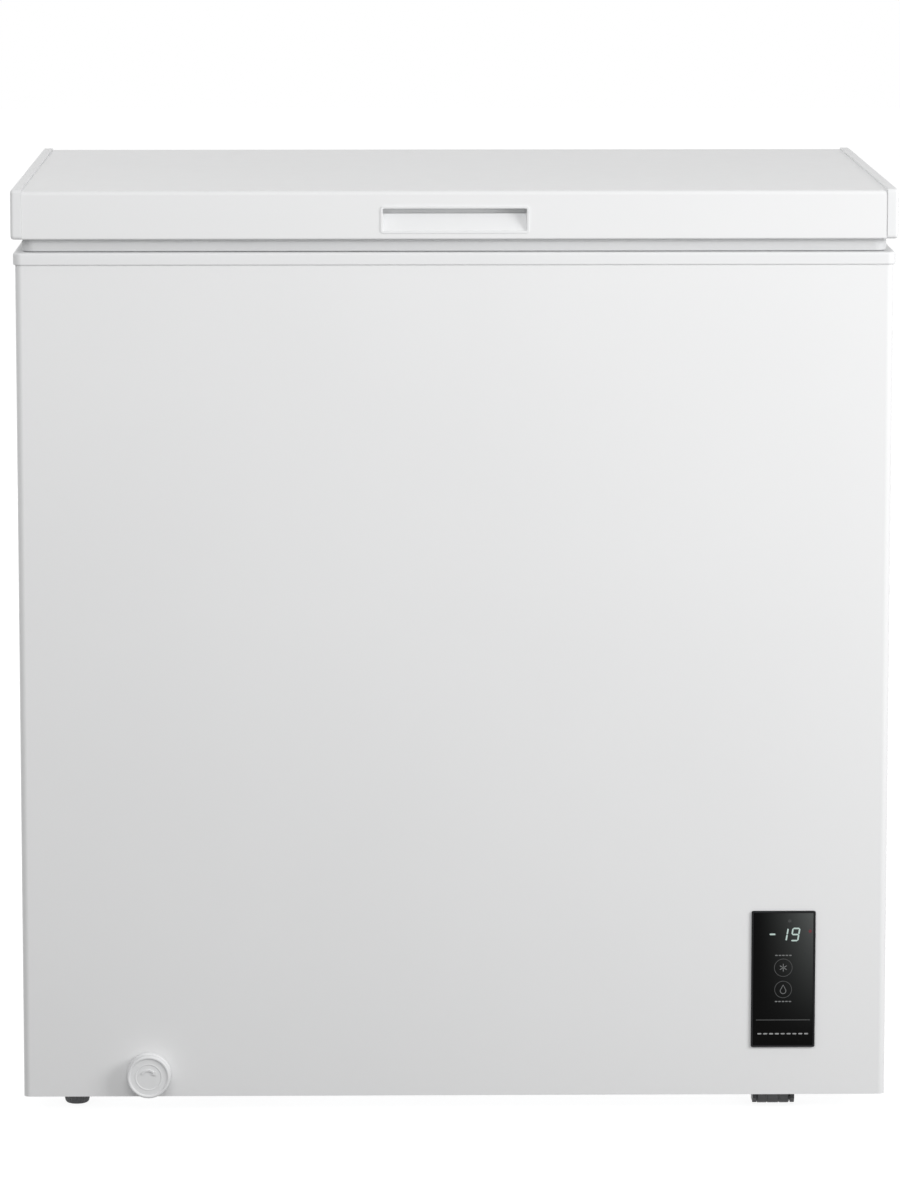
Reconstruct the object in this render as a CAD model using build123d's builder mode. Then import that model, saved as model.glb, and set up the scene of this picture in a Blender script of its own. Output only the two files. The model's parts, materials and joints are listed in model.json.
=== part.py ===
"""Chest freezer with a counterbalanced lid, a pull-out drain dial and a front control panel.

Millimetres. x runs to the right seen from the front, the front faces -y, z is up and the floor is z = 0.
"""

import math
import os

from build123d import *

os.makedirs("parts", exist_ok=True)

# cabinet outside
CAB_W = 795
FRONT = -266
BACK = 248
BASE = 17
SHELL_TOP = 795.2
SHEET = 0.6
CORNER = 6
HEM = 12
WALL = 52

# top frame and lid
RIM_W = 799
RIM_FRONT = -268
RIM_BOTTOM = 786.5
RIM_TOP = 798
RIM_DECK = 2.6
RIM_LIP = 15
LID_W = 802
LID_D = 519
LID_Y = -10
LID_BOTTOM = 810
LID_TOP = 854
LID_T = 0.8
LID_ROUND = 4
LID_FOLD = 1.5
LID_HEM = 14
LID_FRONT = LID_Y - LID_D / 2
LID_BACK = LID_Y + LID_D / 2
END_W = 10
END_RISE = 1.5
END_STEP = 0.8
END_WALL = 2
END_BEVEL = 2
PANEL_T = 1.5
BULGE_W = 636
BULGE_D = 352
BULGE_R = 24
BULGE_BOTTOM = 796
BULGE_TAPER = 35

# gasket, a band set in from the lid's edge
GASKET_W = 784
GASKET_D = 501
GASKET_R = 12
GASKET_T = 14
GASKET_LOW = RIM_TOP + 0.3

# handle cup
CUP_W = 130
CUP_LOW = 817.7
CUP_HIGH = 837.7
CUP_DEEP = 18
CUP_SLOPE = 9
CUP_SLOT = 5
CUP_T = 1.4
CUP_FLANGE = 0.8

# tub and the compressor bay below its step
LINER_T = 0.8
TUB_W = CAB_W - 2 * WALL - 2 * LINER_T
TUB_D = BACK - FRONT - 2 * WALL - 2 * LINER_T
TUB_Y = (FRONT + BACK) / 2
TUB_R = 16
FLOOR = 69
BAY_X = 165
BAY_TOP = 258
STEP_X = 113
STEP_TOP = 310

# tubes flattened against the tub wall and the outer panels; a cut corner grows with the tube's offset
TUBE_T = 6
TUBE_H = 8
BELT = 6.4
EVAP_LOW = 346
EVAP_PITCH = 120
EVAP_LEVELS = 4
EVAP_Y = 150
EVAP_GAP = 60
COIL_CUT = 9.5
CUT_GROWTH = 2 - math.sqrt(2)
COND_LOW = 430
COND_HIGH = 570
COND_END = 160
COND_R = 20
RETURN_Y = EVAP_Y + EVAP_GAP / 2 + TUBE_H / 2

# compressor and its pipes
COMP_X = 290
COMP_Y = 150
COMP_R = 75
COMP_H = 140
SHELL_SIDES = 32
FOOT_DX = 82.5
FOOT_DY = 50.8
PIPE_R = 3
STUB_X = 372
SUCTION_Z = 214
DISCHARGE_Y = COND_END - TUBE_H / 2
DISCHARGE_Z = 80
DRIER_LOW = 184
DRIER_HIGH = 250
DRIER_R = 9
LIQUID_Z = 200
TRAY_T = 1.2
PLATE_T = 3
GROMMET_R = 11
TERMINAL_LOW = 62
TERMINAL_W = 46
TERMINAL_H = 40
TERMINAL_DEEP = 30

# control panel
CTRL_X = 302.7
CTRL_Z = 126
CTRL_W = 59
CTRL_H = 128
CTRL_PROUD = 2
CTRL_BACK = -228
BOX_W = 53
BOX_H = 122
BOX_T = 2
POST_H = 26
BOARD_T = 1.6
READOUT_Z = CTRL_Z + 41
KEYS_Z = (CTRL_Z + 11, CTRL_Z - 9.5)
READOUT_W = 34
READOUT_H = 20
KEY_R = 7
HARNESS_X = 296
HARNESS_Z = 84

# drain
DRAIN_X = -282
DRAIN_Y = -185
DRAIN_Z = 38
DIAL_R = 20.5
DIAL_FRONT = -280
DIAL_BACK = -266.6
PIPE_BORE = 10.05
ELBOW_R = 12
DROP_R = 11
FLANGE_R = 18
FLANGE_T = 1.5
PLUG_R = 7.93
PLUG_H = 9
STOPPER_R = 13
STOPPER_T = 3
TAB_W = 14
TAB_T = 3
TAB_H = 8
OUTLET_W = 9
OUTLET_LONG = 14
SPOUT_R = 9.98
SPOUT_BORE = 7
SPOUT_END = -203.6
SEAL_T = 3.6

# feet and rollers
FOOT_X = -351
FOOT_YS = (-216, 200)
FOOT_R = 12.6
FOOT_H = 10
STUD_R = 4
STUD_LONG = 22
SOCKET_R = 9
SOCKET_H = 18
ROLLER_X = 296.6
ROLLER_YS = (-228, 205)
ROLLER_R = 8
ROLLER_HALF = 15
AXLE_R = 2.5
CHEEK_IN = 15.6
CHEEK_OUT = 19.4
CHEEK_LOW = 2
CHEEK_D = 26
BRACKET_T = 1.2

# hinges: the cam's support shrinks evenly with the lid's angle, so the slider rises evenly too
HINGE_XS = (-250, 250)
PIVOT_Y = BACK + 19
PIVOT_Z = 806
HINGE_BACK = 280
CHANNEL_HALF = 16
CHANNEL_T = 1.5
CHANNEL_LOW = 696
CHANNEL_HIGH = 784
CAM_LIFT = 16
CAM_RATE = 6.5
LID_OPEN = math.radians(80)
SLIDER_TOP = PIVOT_Z - CAM_LIFT - 0.3
SLIDER_H = 16
SLIDER_W = 28
STEM_W = 7
STEM_H = 14
SPRING_Y = 264.5
SPRING_R = 9
SPRING_WIRE = 2.4
SEAT_T = 2
PIN_R = 3
LEAF_T = 2
LEAF_W = 44
LEAF_H = 32
ARM_HALF = 10

# ventilation
GRILLE_Y = 60
GRILLE_Z = 130
GRILLE_W = 150
GRILLE_H = 80
GRILLE_RIM = 7
GRILLE_T = 2
GRILLE_DEEP = 9
LOUVRES = 9
LOUVRE_PITCH = 8
COVER_X = 178
COVER_Z = 246
COVER_T = 0.8
COVER_LAP = 8
SLOT_W = 44
SLOT_H = 6
SLOT_PITCH_X = 58
SLOT_PITCH_Z = 14
SLOTS_X = 3
SLOTS_Z = 9
SLOTS_MID = 165
INLET_X = 206
INLET_Z = 52
INLET_W = 27
INLET_H = 19
INLET_DEEP = 20
INLET_RIM = 3
INLET_WALL = 1.75
BLADE_W = 2
BLADE_H = 4
BLADE_GAP = 7

# basket
BASKET_X = 205
BASKET_W = 250
BASKET_FRONT = -205
BASKET_BACK = 187
BASKET_LOW = 590
BASKET_RIM = 770
WIRE = 3
RIM_WIRE = 5
HOOK_REACH = 24
GAPS_X = 5
GAPS_Y = 7
GAPS_Z = 3

SKIN_W = LID_W - 2 * END_W - 0.2
END_TOP = LID_TOP + END_RISE
END_FRONT = LID_FRONT - END_STEP
HALF_W = CAB_W / 2
IN_X = HALF_W - SHEET
IN_FRONT = FRONT + SHEET
IN_BACK = BACK - SHEET
FOAM_LOW = BASE + 2 * SHEET
EVAP_X = TUB_W / 2 + LINER_T + BELT / 2
COND_X = IN_X - BELT / 2
EVAP_TOP = EVAP_LOW + EVAP_PITCH * (EVAP_LEVELS - 1)
TRAY_TOP = BASE + SHEET + TRAY_T
PLATE_LOW = TRAY_TOP + 16.2
BOARD_Y = CTRL_BACK - POST_H
LENS_GAP = BOARD_Y - BOARD_T - FRONT + CTRL_PROUD - 1
BASKET_D = BASKET_BACK - BASKET_FRONT
BASKET_Y = (BASKET_BACK + BASKET_FRONT) / 2
BASKET_H = BASKET_RIM - BASKET_LOW
GRID_X = (BASKET_W - WIRE) / GAPS_X
GRID_Y = (BASKET_D - 3 * WIRE) / GAPS_Y
GRID_Z = (BASKET_H - WIRE) / GAPS_Z


# front panel: sheet wrapped round both front corners, with cut-outs for the controls and the drain
with BuildPart() as front_panel:
    with BuildSketch(Plane.XY.offset(BASE)):
        with BuildLine():
            FilletPolyline(
                (-HALF_W + SHEET / 2, FRONT + HEM),
                (-HALF_W + SHEET / 2, FRONT + SHEET / 2),
                (HALF_W - SHEET / 2, FRONT + SHEET / 2),
                (HALF_W - SHEET / 2, FRONT + HEM),
                radius=CORNER - SHEET / 2,
            )
        trace(line_width=SHEET)
    extrude(amount=SHELL_TOP - BASE)
    with BuildSketch(Plane.XY.offset(BASE)) as hem:
        with Locations((0, FRONT + HEM / 2)):
            Rectangle(CAB_W, HEM)
        fillet(hem.vertices().group_by(Axis.Y)[0], CORNER)
    extrude(amount=SHEET)
    with BuildSketch(Plane.XZ.offset(-FRONT)):
        with Locations((CTRL_X, CTRL_Z)):
            Rectangle(BOX_W + 0.4, BOX_H + 0.4)
        with Locations((DRAIN_X, DRAIN_Z)):
            Circle(PIPE_BORE + 0.3)
    extrude(amount=SHEET, both=True, mode=Mode.SUBTRACT)
front_panel.part.label = "front_panel"
export_step(front_panel.part, "parts/front_panel.step")

# side panels with a hem along the floor; the right one has a window for the grille
for name, side in (("side_panel_left", -1), ("side_panel_right", 1)):
    with BuildPart() as side_panel:
        with BuildSketch(Plane.XY.offset(BASE)):
            with Locations((side * (HALF_W - SHEET / 2), (FRONT + HEM + BACK) / 2)):
                Rectangle(SHEET, BACK - FRONT - HEM)
        extrude(amount=SHELL_TOP - BASE)
        with BuildSketch(Plane.XY.offset(BASE)):
            with Locations((side * (HALF_W - HEM / 2), (FRONT + HEM + BACK) / 2)):
                Rectangle(HEM, BACK - FRONT - HEM)
        extrude(amount=SHEET)
        if side > 0:
            with BuildSketch(Plane.YZ.offset(HALF_W)):
                with Locations((GRILLE_Y, GRILLE_Z)):
                    Rectangle(GRILLE_W + 0.4, GRILLE_H + 0.4)
            extrude(amount=SHEET, both=True, mode=Mode.SUBTRACT)
    side_panel.part.label = name
    export_step(side_panel.part, f"parts/{name}.step")

# back panel, cut away behind the compressor bay
with BuildPart() as back_panel:
    with BuildSketch(Plane.XZ.offset(-BACK)):
        with Locations((0, (BASE + SHEET + SHELL_TOP) / 2)):
            Rectangle(2 * IN_X, SHELL_TOP - BASE - SHEET)
        with Locations(((COVER_X + IN_X) / 2, (BASE + SHEET + COVER_Z) / 2)):
            Rectangle(IN_X - COVER_X, COVER_Z - BASE - SHEET, mode=Mode.SUBTRACT)
    extrude(amount=SHEET)
back_panel.part.label = "back_panel"
export_step(back_panel.part, "parts/back_panel.step")

# bottom panel: one sheet folded up and over, so that it is also the wall and ceiling of the bay
with BuildPart() as bottom_panel:
    with BuildSketch(Plane.XZ.offset(-IN_FRONT)):
        with BuildLine():
            FilletPolyline(
                (-IN_X, BASE + 1.5 * SHEET),
                (BAY_X + SHEET / 2, BASE + 1.5 * SHEET),
                (BAY_X + SHEET / 2, BAY_TOP - SHEET / 2),
                (IN_X, BAY_TOP - SHEET / 2),
                radius=3,
            )
        trace(line_width=SHEET)
    extrude(amount=IN_FRONT - IN_BACK)
    corner_edges = bottom_panel.edges().filter_by(Axis.Z).group_by(Axis.Y)[0]
    fillet([e for e in corner_edges if abs(abs(e.center().X) - IN_X) < 0.1], CORNER)
    with BuildSketch(Plane.XY.offset(BASE)):
        with Locations(*[(FOOT_X, y) for y in FOOT_YS]):
            RegularPolygon(STUD_R + 2, 6)
    extrude(amount=2 * SHEET, mode=Mode.SUBTRACT)
    # way through the ceiling for the pipes
    with BuildSketch(Plane.XY.offset(BAY_TOP - 2)):
        with Locations((IN_X - 4, (DISCHARGE_Y + RETURN_Y) / 2)):
            Rectangle(8, 40)
        with Locations((EVAP_X, EVAP_Y), (EVAP_X, RETURN_Y)):
            Rectangle(9, 9)
    extrude(amount=4, mode=Mode.SUBTRACT)
bottom_panel.part.label = "bottom_panel"
export_step(bottom_panel.part, "parts/bottom_panel.step")

# tub: a sheet shell with a step over the compressor bay
with BuildPart() as liner:
    with BuildSketch(Plane.XY.offset(FLOOR - LINER_T)):
        with Locations((0, TUB_Y)):
            RectangleRounded(TUB_W + 2 * LINER_T, TUB_D + 2 * LINER_T, TUB_R + LINER_T)
    extrude(amount=SHELL_TOP - FLOOR + LINER_T)
    with BuildSketch(Plane.XY.offset(FLOOR - LINER_T)):
        with Locations((STEP_X + LINER_T, TUB_Y)):
            Rectangle(TUB_W, 2 * TUB_D, align=(Align.MIN, Align.CENTER))
    extrude(amount=STEP_TOP - FLOOR, mode=Mode.SUBTRACT)
    offset(amount=-LINER_T, openings=liner.faces().sort_by(Axis.Z)[-1])
    with BuildSketch(Plane.XY.offset(FLOOR)):
        with Locations((DRAIN_X, DRAIN_Y)):
            Rectangle(2 * DROP_R + 0.2, 2 * DROP_R + 0.2)
    extrude(amount=2 * LINER_T, both=True, mode=Mode.SUBTRACT)
liner.part.label = "liner"
export_step(liner.part, "parts/liner.step")

# insulation between the tub and the outer panels
with BuildPart() as insulation:
    with BuildSketch(Plane.XY.offset(FOAM_LOW)) as block:
        with Locations((0, (IN_FRONT + IN_BACK) / 2)):
            Rectangle(2 * IN_X, IN_BACK - IN_FRONT)
        fillet(block.vertices().group_by(Axis.Y)[0], CORNER + 0.5)
    extrude(amount=SHELL_TOP - FOAM_LOW)
    # compressor bay, with the fold of the bottom panel rounded
    with BuildSketch(Plane.XY.offset(FOAM_LOW)):
        with Locations((BAY_X, TUB_Y)):
            Rectangle(CAB_W, CAB_W, align=(Align.MIN, Align.CENTER))
    extrude(amount=BAY_TOP - FOAM_LOW, mode=Mode.SUBTRACT)
    low_edges = insulation.edges().filter_by(Axis.Y).group_by(Axis.Z)[0]
    fillet(low_edges.sort_by(Axis.X)[-1], 3.5)
    # room for the tub
    with BuildSketch(Plane.XY.offset(STEP_TOP - LINER_T)):
        with Locations((0, TUB_Y)):
            RectangleRounded(TUB_W + 2 * LINER_T, TUB_D + 2 * LINER_T, TUB_R)
    extrude(amount=SHELL_TOP, mode=Mode.SUBTRACT)
    with BuildSketch(Plane.XY.offset(FLOOR - LINER_T)) as deep_end:
        with Locations(((STEP_X - TUB_W / 2) / 2, TUB_Y)):
            Rectangle(STEP_X + TUB_W / 2 + 2 * LINER_T, TUB_D + 2 * LINER_T)
        fillet(deep_end.vertices().group_by(Axis.X)[0], TUB_R)
    extrude(amount=STEP_TOP - FLOOR, mode=Mode.SUBTRACT)
    # shallow belts in which the flattened tubes lie
    with BuildSketch(Plane.XY.offset(EVAP_LOW - 6)):
        with Locations((0, TUB_Y)):
            Rectangle(TUB_W + 2 * LINER_T + 2 * BELT, TUB_D + 2 * LINER_T + 2 * BELT)
    extrude(amount=EVAP_TOP - EVAP_LOW + TUBE_H + 12, mode=Mode.SUBTRACT)
    with BuildSketch(Plane.XY.offset(COND_LOW - 6)):
        with Locations((0, IN_FRONT)):
            Rectangle(2 * IN_X, RETURN_Y + 10 - IN_FRONT, align=(Align.CENTER, Align.MIN))
        with BuildSketch(mode=Mode.SUBTRACT) as core:
            with Locations((0, IN_FRONT + BELT)):
                Rectangle(2 * IN_X - 2 * BELT, RETURN_Y + 20 - IN_FRONT, align=(Align.CENTER, Align.MIN))
            chamfer(core.vertices().group_by(Axis.Y)[0], COND_R)
    extrude(amount=COND_HIGH - COND_LOW + TUBE_H + 12, mode=Mode.SUBTRACT)
    # ways down to the bay for the four pipes
    with BuildSketch(Plane.XY.offset(BAY_TOP)):
        with Locations((IN_X, (DISCHARGE_Y + RETURN_Y) / 2)):
            Rectangle(BELT, 40, align=(Align.MAX, Align.CENTER))
    extrude(amount=COND_LOW - BAY_TOP, mode=Mode.SUBTRACT)
    with BuildSketch(Plane.XY.offset(BAY_TOP)):
        with Locations((EVAP_X, EVAP_Y), (EVAP_X, RETURN_Y)):
            Rectangle(2 * PIPE_R + 0.6, 2 * PIPE_R + 0.6)
    extrude(amount=EVAP_LOW - BAY_TOP, mode=Mode.SUBTRACT)
    # channel for the drain elbow and pockets for the foot sockets
    with BuildSketch(Plane.YZ.offset(DRAIN_X)):
        with BuildLine():
            Polyline(
                (IN_FRONT, DRAIN_Z - ELBOW_R - 0.3),
                (DRAIN_Y + ELBOW_R + 2.3, DRAIN_Z - ELBOW_R - 0.3),
                (DRAIN_Y + ELBOW_R + 2.3, FLOOR),
                (DRAIN_Y - ELBOW_R - 0.3, FLOOR),
                (DRAIN_Y - ELBOW_R - 0.3, DRAIN_Z + ELBOW_R + 0.3),
                (IN_FRONT, DRAIN_Z + ELBOW_R + 0.3),
                close=True,
            )
        make_face()
    extrude(amount=ELBOW_R + 0.3, both=True, mode=Mode.SUBTRACT)
    with BuildSketch(Plane.XY.offset(FOAM_LOW)):
        with Locations(*[(FOOT_X, y) for y in FOOT_YS]):
            RegularPolygon(SOCKET_R + 0.3, 6)
    extrude(amount=SOCKET_H + 0.2, mode=Mode.SUBTRACT)
insulation.part.label = "insulation"
export_step(insulation.part, "parts/insulation.step")

# top frame: deck over the wall, skirt outside the panels, lip down into the tub's mouth
with BuildPart() as top_frame:
    mouth_w = TUB_W - 5
    mouth_d = TUB_D - 5
    with BuildSketch(Plane.XY.offset(RIM_BOTTOM)) as outline:
        with Locations((0, RIM_FRONT)):
            Rectangle(RIM_W, BACK - RIM_FRONT, align=(Align.CENTER, Align.MIN))
        fillet(outline.vertices().group_by(Axis.Y)[0], CORNER + 2)
    extrude(amount=RIM_TOP - RIM_BOTTOM)
    rim_edges = top_frame.faces().sort_by(Axis.Z)[-1].edges()
    chamfer(rim_edges.sort_by(Axis.Y)[:-1], 1.8)
    low_rim = top_frame.faces().sort_by(Axis.Z)[0].edges()
    chamfer(low_rim.sort_by(Axis.Y)[:-1], 1)
    with BuildSketch(Plane.XY.offset(RIM_BOTTOM)) as under:
        with Locations((0, FRONT - 0.1)):
            Rectangle(CAB_W + 0.2, BACK - FRONT + 5, align=(Align.CENTER, Align.MIN))
        fillet(under.vertices().group_by(Axis.Y)[0], CORNER)
    extrude(amount=RIM_TOP - RIM_DECK - RIM_BOTTOM, mode=Mode.SUBTRACT)
    with BuildSketch(Plane.XY.offset(RIM_TOP)):
        with Locations((0, TUB_Y)):
            RectangleRounded(TUB_W - 0.2, TUB_D - 0.2, TUB_R)
    extrude(amount=-RIM_LIP)
    with BuildSketch(Plane.XY.offset(RIM_TOP)):
        with Locations((0, TUB_Y)):
            RectangleRounded(mouth_w, mouth_d, TUB_R - 2.4)
    extrude(amount=-2 * RIM_LIP, mode=Mode.SUBTRACT)
    mouth_edges = [
        e for e in top_frame.faces().sort_by(Axis.Z)[-1].edges()
        if abs(e.center().X) < mouth_w / 2 + 1 and abs(e.center().Y - TUB_Y) < mouth_d / 2 + 1
    ]
    chamfer(mouth_edges, 1.2)
top_frame.part.label = "top_frame"
export_step(top_frame.part, "parts/top_frame.step")

# lid skin: one sheet bent over the front and back edges and folded in below, with a window for the handle cup
with BuildPart() as lid_skin:
    roll = LID_ROUND - LID_T / 2
    fold = LID_FOLD - LID_T / 2
    with BuildSketch(Plane.YZ.offset(-SKIN_W / 2)):
        with BuildLine():
            FilletPolyline(
                (LID_FRONT + LID_HEM, LID_BOTTOM + LID_T / 2),
                (LID_FRONT + LID_T / 2, LID_BOTTOM + LID_T / 2),
                (LID_FRONT + LID_T / 2, LID_TOP - LID_T / 2),
                (LID_BACK - LID_T / 2, LID_TOP - LID_T / 2),
                (LID_BACK - LID_T / 2, LID_BOTTOM + LID_T / 2),
                (LID_BACK - LID_HEM, LID_BOTTOM + LID_T / 2),
                radius=(fold, roll, roll, fold),
            )
        trace(line_width=LID_T)
    extrude(amount=SKIN_W)
    with BuildSketch(Plane.XZ.offset(-LID_FRONT)):
        with Locations((0, (CUP_LOW + CUP_HIGH) / 2)):
            Rectangle(CUP_W + 2 * CUP_T + 0.4, CUP_HIGH - CUP_LOW + 2 * CUP_T + 0.4)
    extrude(amount=2 * LID_T, both=True, mode=Mode.SUBTRACT)
lid_skin.part.label = "lid_skin"
export_step(lid_skin.part, "parts/lid_skin.step")

# end caps of the lid: hollow mouldings a little proud of the sheet, with a ledge for the inner panel
with BuildPart() as lid_end_caps:
    end_middle = ((END_FRONT + LID_BACK) / 2, (LID_BOTTOM + END_TOP) / 2)
    end_size = (LID_BACK - END_FRONT, END_TOP - LID_BOTTOM)
    for side in (-1, 1):
        with BuildSketch(Plane.YZ.offset(side * (LID_W / 2 - END_W))):
            with Locations(end_middle):
                Rectangle(*end_size)
        extrude(amount=side * END_W)
    rims = lid_end_caps.edges().filter_by(Axis.X).group_by(Axis.Z)[-1]
    for outside in (0, -1):
        rims += lid_end_caps.faces().sort_by(Axis.X)[outside].edges().sort_by(Axis.Z)[1:]
    chamfer(rims, END_BEVEL)
    for side in (-1, 1):
        with BuildSketch(Plane.YZ.offset(side * (LID_W / 2 - END_W))):
            with Locations(end_middle):
                Rectangle(end_size[0] - 2 * END_WALL, end_size[1] - 2 * END_WALL)
        extrude(amount=side * (END_W - END_WALL), mode=Mode.SUBTRACT)
        with BuildSketch(Plane.XY.offset(LID_BOTTOM)):
            with Locations((side * (LID_W / 2 - END_W - LID_HEM / 2), LID_Y)):
                Rectangle(LID_HEM, LID_D - 2 * LID_HEM - 0.4)
        extrude(amount=LID_T)
lid_end_caps.part.label = "lid_end_caps"
export_step(lid_end_caps.part, "parts/lid_end_caps.step")

# inner panel of the lid: a flat rim with a shallow raised field that faces the tub
with BuildPart() as lid_inner_panel:
    with BuildSketch(Plane.XY.offset(LID_BOTTOM + LID_T)):
        with Locations((0, LID_Y)):
            RectangleRounded(SKIN_W - 0.6, LID_D - 10, 3)
    extrude(amount=PANEL_T)
    with BuildSketch(Plane.XY.offset(LID_BOTTOM + LID_T)):
        with Locations((0, LID_Y)):
            RectangleRounded(BULGE_W, BULGE_D, BULGE_R)
    extrude(amount=LID_BOTTOM + LID_T - BULGE_BOTTOM, dir=(0, 0, -1), taper=BULGE_TAPER)
    with BuildSketch(Plane.XY.offset(LID_BOTTOM + LID_T + PANEL_T)):
        with Locations((0, LID_Y)):
            RectangleRounded(BULGE_W, BULGE_D, BULGE_R)
    extrude(amount=LID_BOTTOM + LID_T - BULGE_BOTTOM, dir=(0, 0, -1), taper=BULGE_TAPER, mode=Mode.SUBTRACT)
lid_inner_panel.part.label = "lid_inner_panel"
export_step(lid_inner_panel.part, "parts/lid_inner_panel.step")

# lid insulation: slab with a plug into the raised field and a pocket round the handle cup
with BuildPart() as lid_insulation:
    slab_low = LID_BOTTOM + LID_T + PANEL_T
    with BuildSketch(Plane.XY.offset(slab_low)):
        with Locations((0, (END_FRONT + LID_BACK) / 2)):
            Rectangle(LID_W - 2 * END_WALL - 0.2, LID_BACK - END_FRONT - 2 * END_WALL - 0.2)
    extrude(amount=LID_TOP - LID_T - 0.1 - slab_low)
    chamfer(lid_insulation.faces().sort_by(Axis.Z)[-1].edges(), LID_ROUND)
    with BuildSketch(Plane.XY.offset(slab_low)):
        with Locations((0, LID_Y)):
            RectangleRounded(BULGE_W - 0.4, BULGE_D - 0.4, BULGE_R - 0.2)
    extrude(amount=LID_BOTTOM + LID_T - BULGE_BOTTOM - 0.1, dir=(0, 0, -1), taper=BULGE_TAPER)
    with BuildSketch(Plane.YZ):
        with BuildLine():
            Polyline(
                (LID_FRONT - 2, CUP_LOW - CUP_T - 0.3),
                (LID_FRONT - 2, CUP_HIGH + CUP_T + 0.3),
                (LID_FRONT + CUP_DEEP + CUP_T + 0.3, CUP_HIGH + CUP_T + 0.3),
                (LID_FRONT + CUP_DEEP + CUP_T + 0.3, CUP_HIGH - CUP_SLOT - CUP_T - 0.3),
                (LID_FRONT + CUP_SLOPE + 1.3, CUP_HIGH - CUP_SLOT - CUP_T - 0.3),
                (LID_FRONT + 2.3, CUP_LOW - CUP_T - 0.3),
                close=True,
            )
        make_face()
    extrude(amount=CUP_W / 2 + CUP_T + 0.3, both=True, mode=Mode.SUBTRACT)
lid_insulation.part.label = "lid_insulation"
export_step(lid_insulation.part, "parts/lid_insulation.step")

# gasket: straight outer face, waisted inner face, broad foot on the top frame
with BuildPart() as lid_gasket:
    for low, high, width in (
        (GASKET_LOW, GASKET_LOW + 5.5, GASKET_T),
        (GASKET_LOW + 5.5, LID_BOTTOM - 2.5, GASKET_T - 5),
        (LID_BOTTOM - 2.5, LID_BOTTOM, GASKET_T),
    ):
        with BuildSketch(Plane.XY.offset(low)):
            with Locations((0, LID_Y)):
                RectangleRounded(GASKET_W, GASKET_D, GASKET_R)
                Rectangle(GASKET_W - 2 * width, GASKET_D - 2 * width, mode=Mode.SUBTRACT)
        extrude(amount=high - low)
lid_gasket.part.label = "lid_gasket"
export_step(lid_gasket.part, "parts/lid_gasket.step")

# handle cup: a floor that slopes up to a finger slot under a level ceiling, with a flange in front
with BuildPart() as lid_handle:
    with BuildSketch(Plane.YZ):
        with BuildLine():
            Polyline(
                (LID_FRONT, CUP_LOW - CUP_T),
                (LID_FRONT, CUP_HIGH + CUP_T),
                (LID_FRONT + CUP_DEEP + CUP_T, CUP_HIGH + CUP_T),
                (LID_FRONT + CUP_DEEP + CUP_T, CUP_HIGH - CUP_SLOT - CUP_T),
                (LID_FRONT + CUP_SLOPE + 1, CUP_HIGH - CUP_SLOT - CUP_T),
                (LID_FRONT + 2, CUP_LOW - CUP_T),
                close=True,
            )
        make_face()
    extrude(amount=CUP_W / 2 + CUP_T, both=True)
    with BuildSketch(Plane.XZ.offset(-LID_FRONT)):
        with Locations((0, (CUP_LOW + CUP_HIGH) / 2)):
            RectangleRounded(CUP_W + 2 * CUP_T + 2, CUP_HIGH - CUP_LOW + 2 * CUP_T + 2, 3)
    extrude(amount=CUP_FLANGE)
    chamfer(lid_handle.faces().sort_by(Axis.Y)[0].edges(), 0.5)
    with BuildSketch(Plane.YZ):
        with BuildLine():
            Polyline(
                (LID_FRONT - CUP_FLANGE, CUP_LOW),
                (LID_FRONT - CUP_FLANGE, CUP_HIGH),
                (LID_FRONT + CUP_DEEP, CUP_HIGH),
                (LID_FRONT + CUP_DEEP, CUP_HIGH - CUP_SLOT),
                (LID_FRONT + CUP_SLOPE, CUP_HIGH - CUP_SLOT),
                (LID_FRONT + 1, CUP_LOW),
                close=True,
            )
        make_face()
    extrude(amount=CUP_W / 2, both=True, mode=Mode.SUBTRACT)
lid_handle.part.label = "lid_handle"
export_step(lid_handle.part, "parts/lid_handle.step")


def cam_point(angle):
    """point of the cam that rests on the slider when the lid stands at this angle, from the pivot"""
    lift = CAM_LIFT - CAM_RATE * angle
    return (
        PIVOT_Y + lift * math.sin(angle) - CAM_RATE * math.cos(angle),
        PIVOT_Z - lift * math.cos(angle) - CAM_RATE * math.sin(angle),
    )


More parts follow.
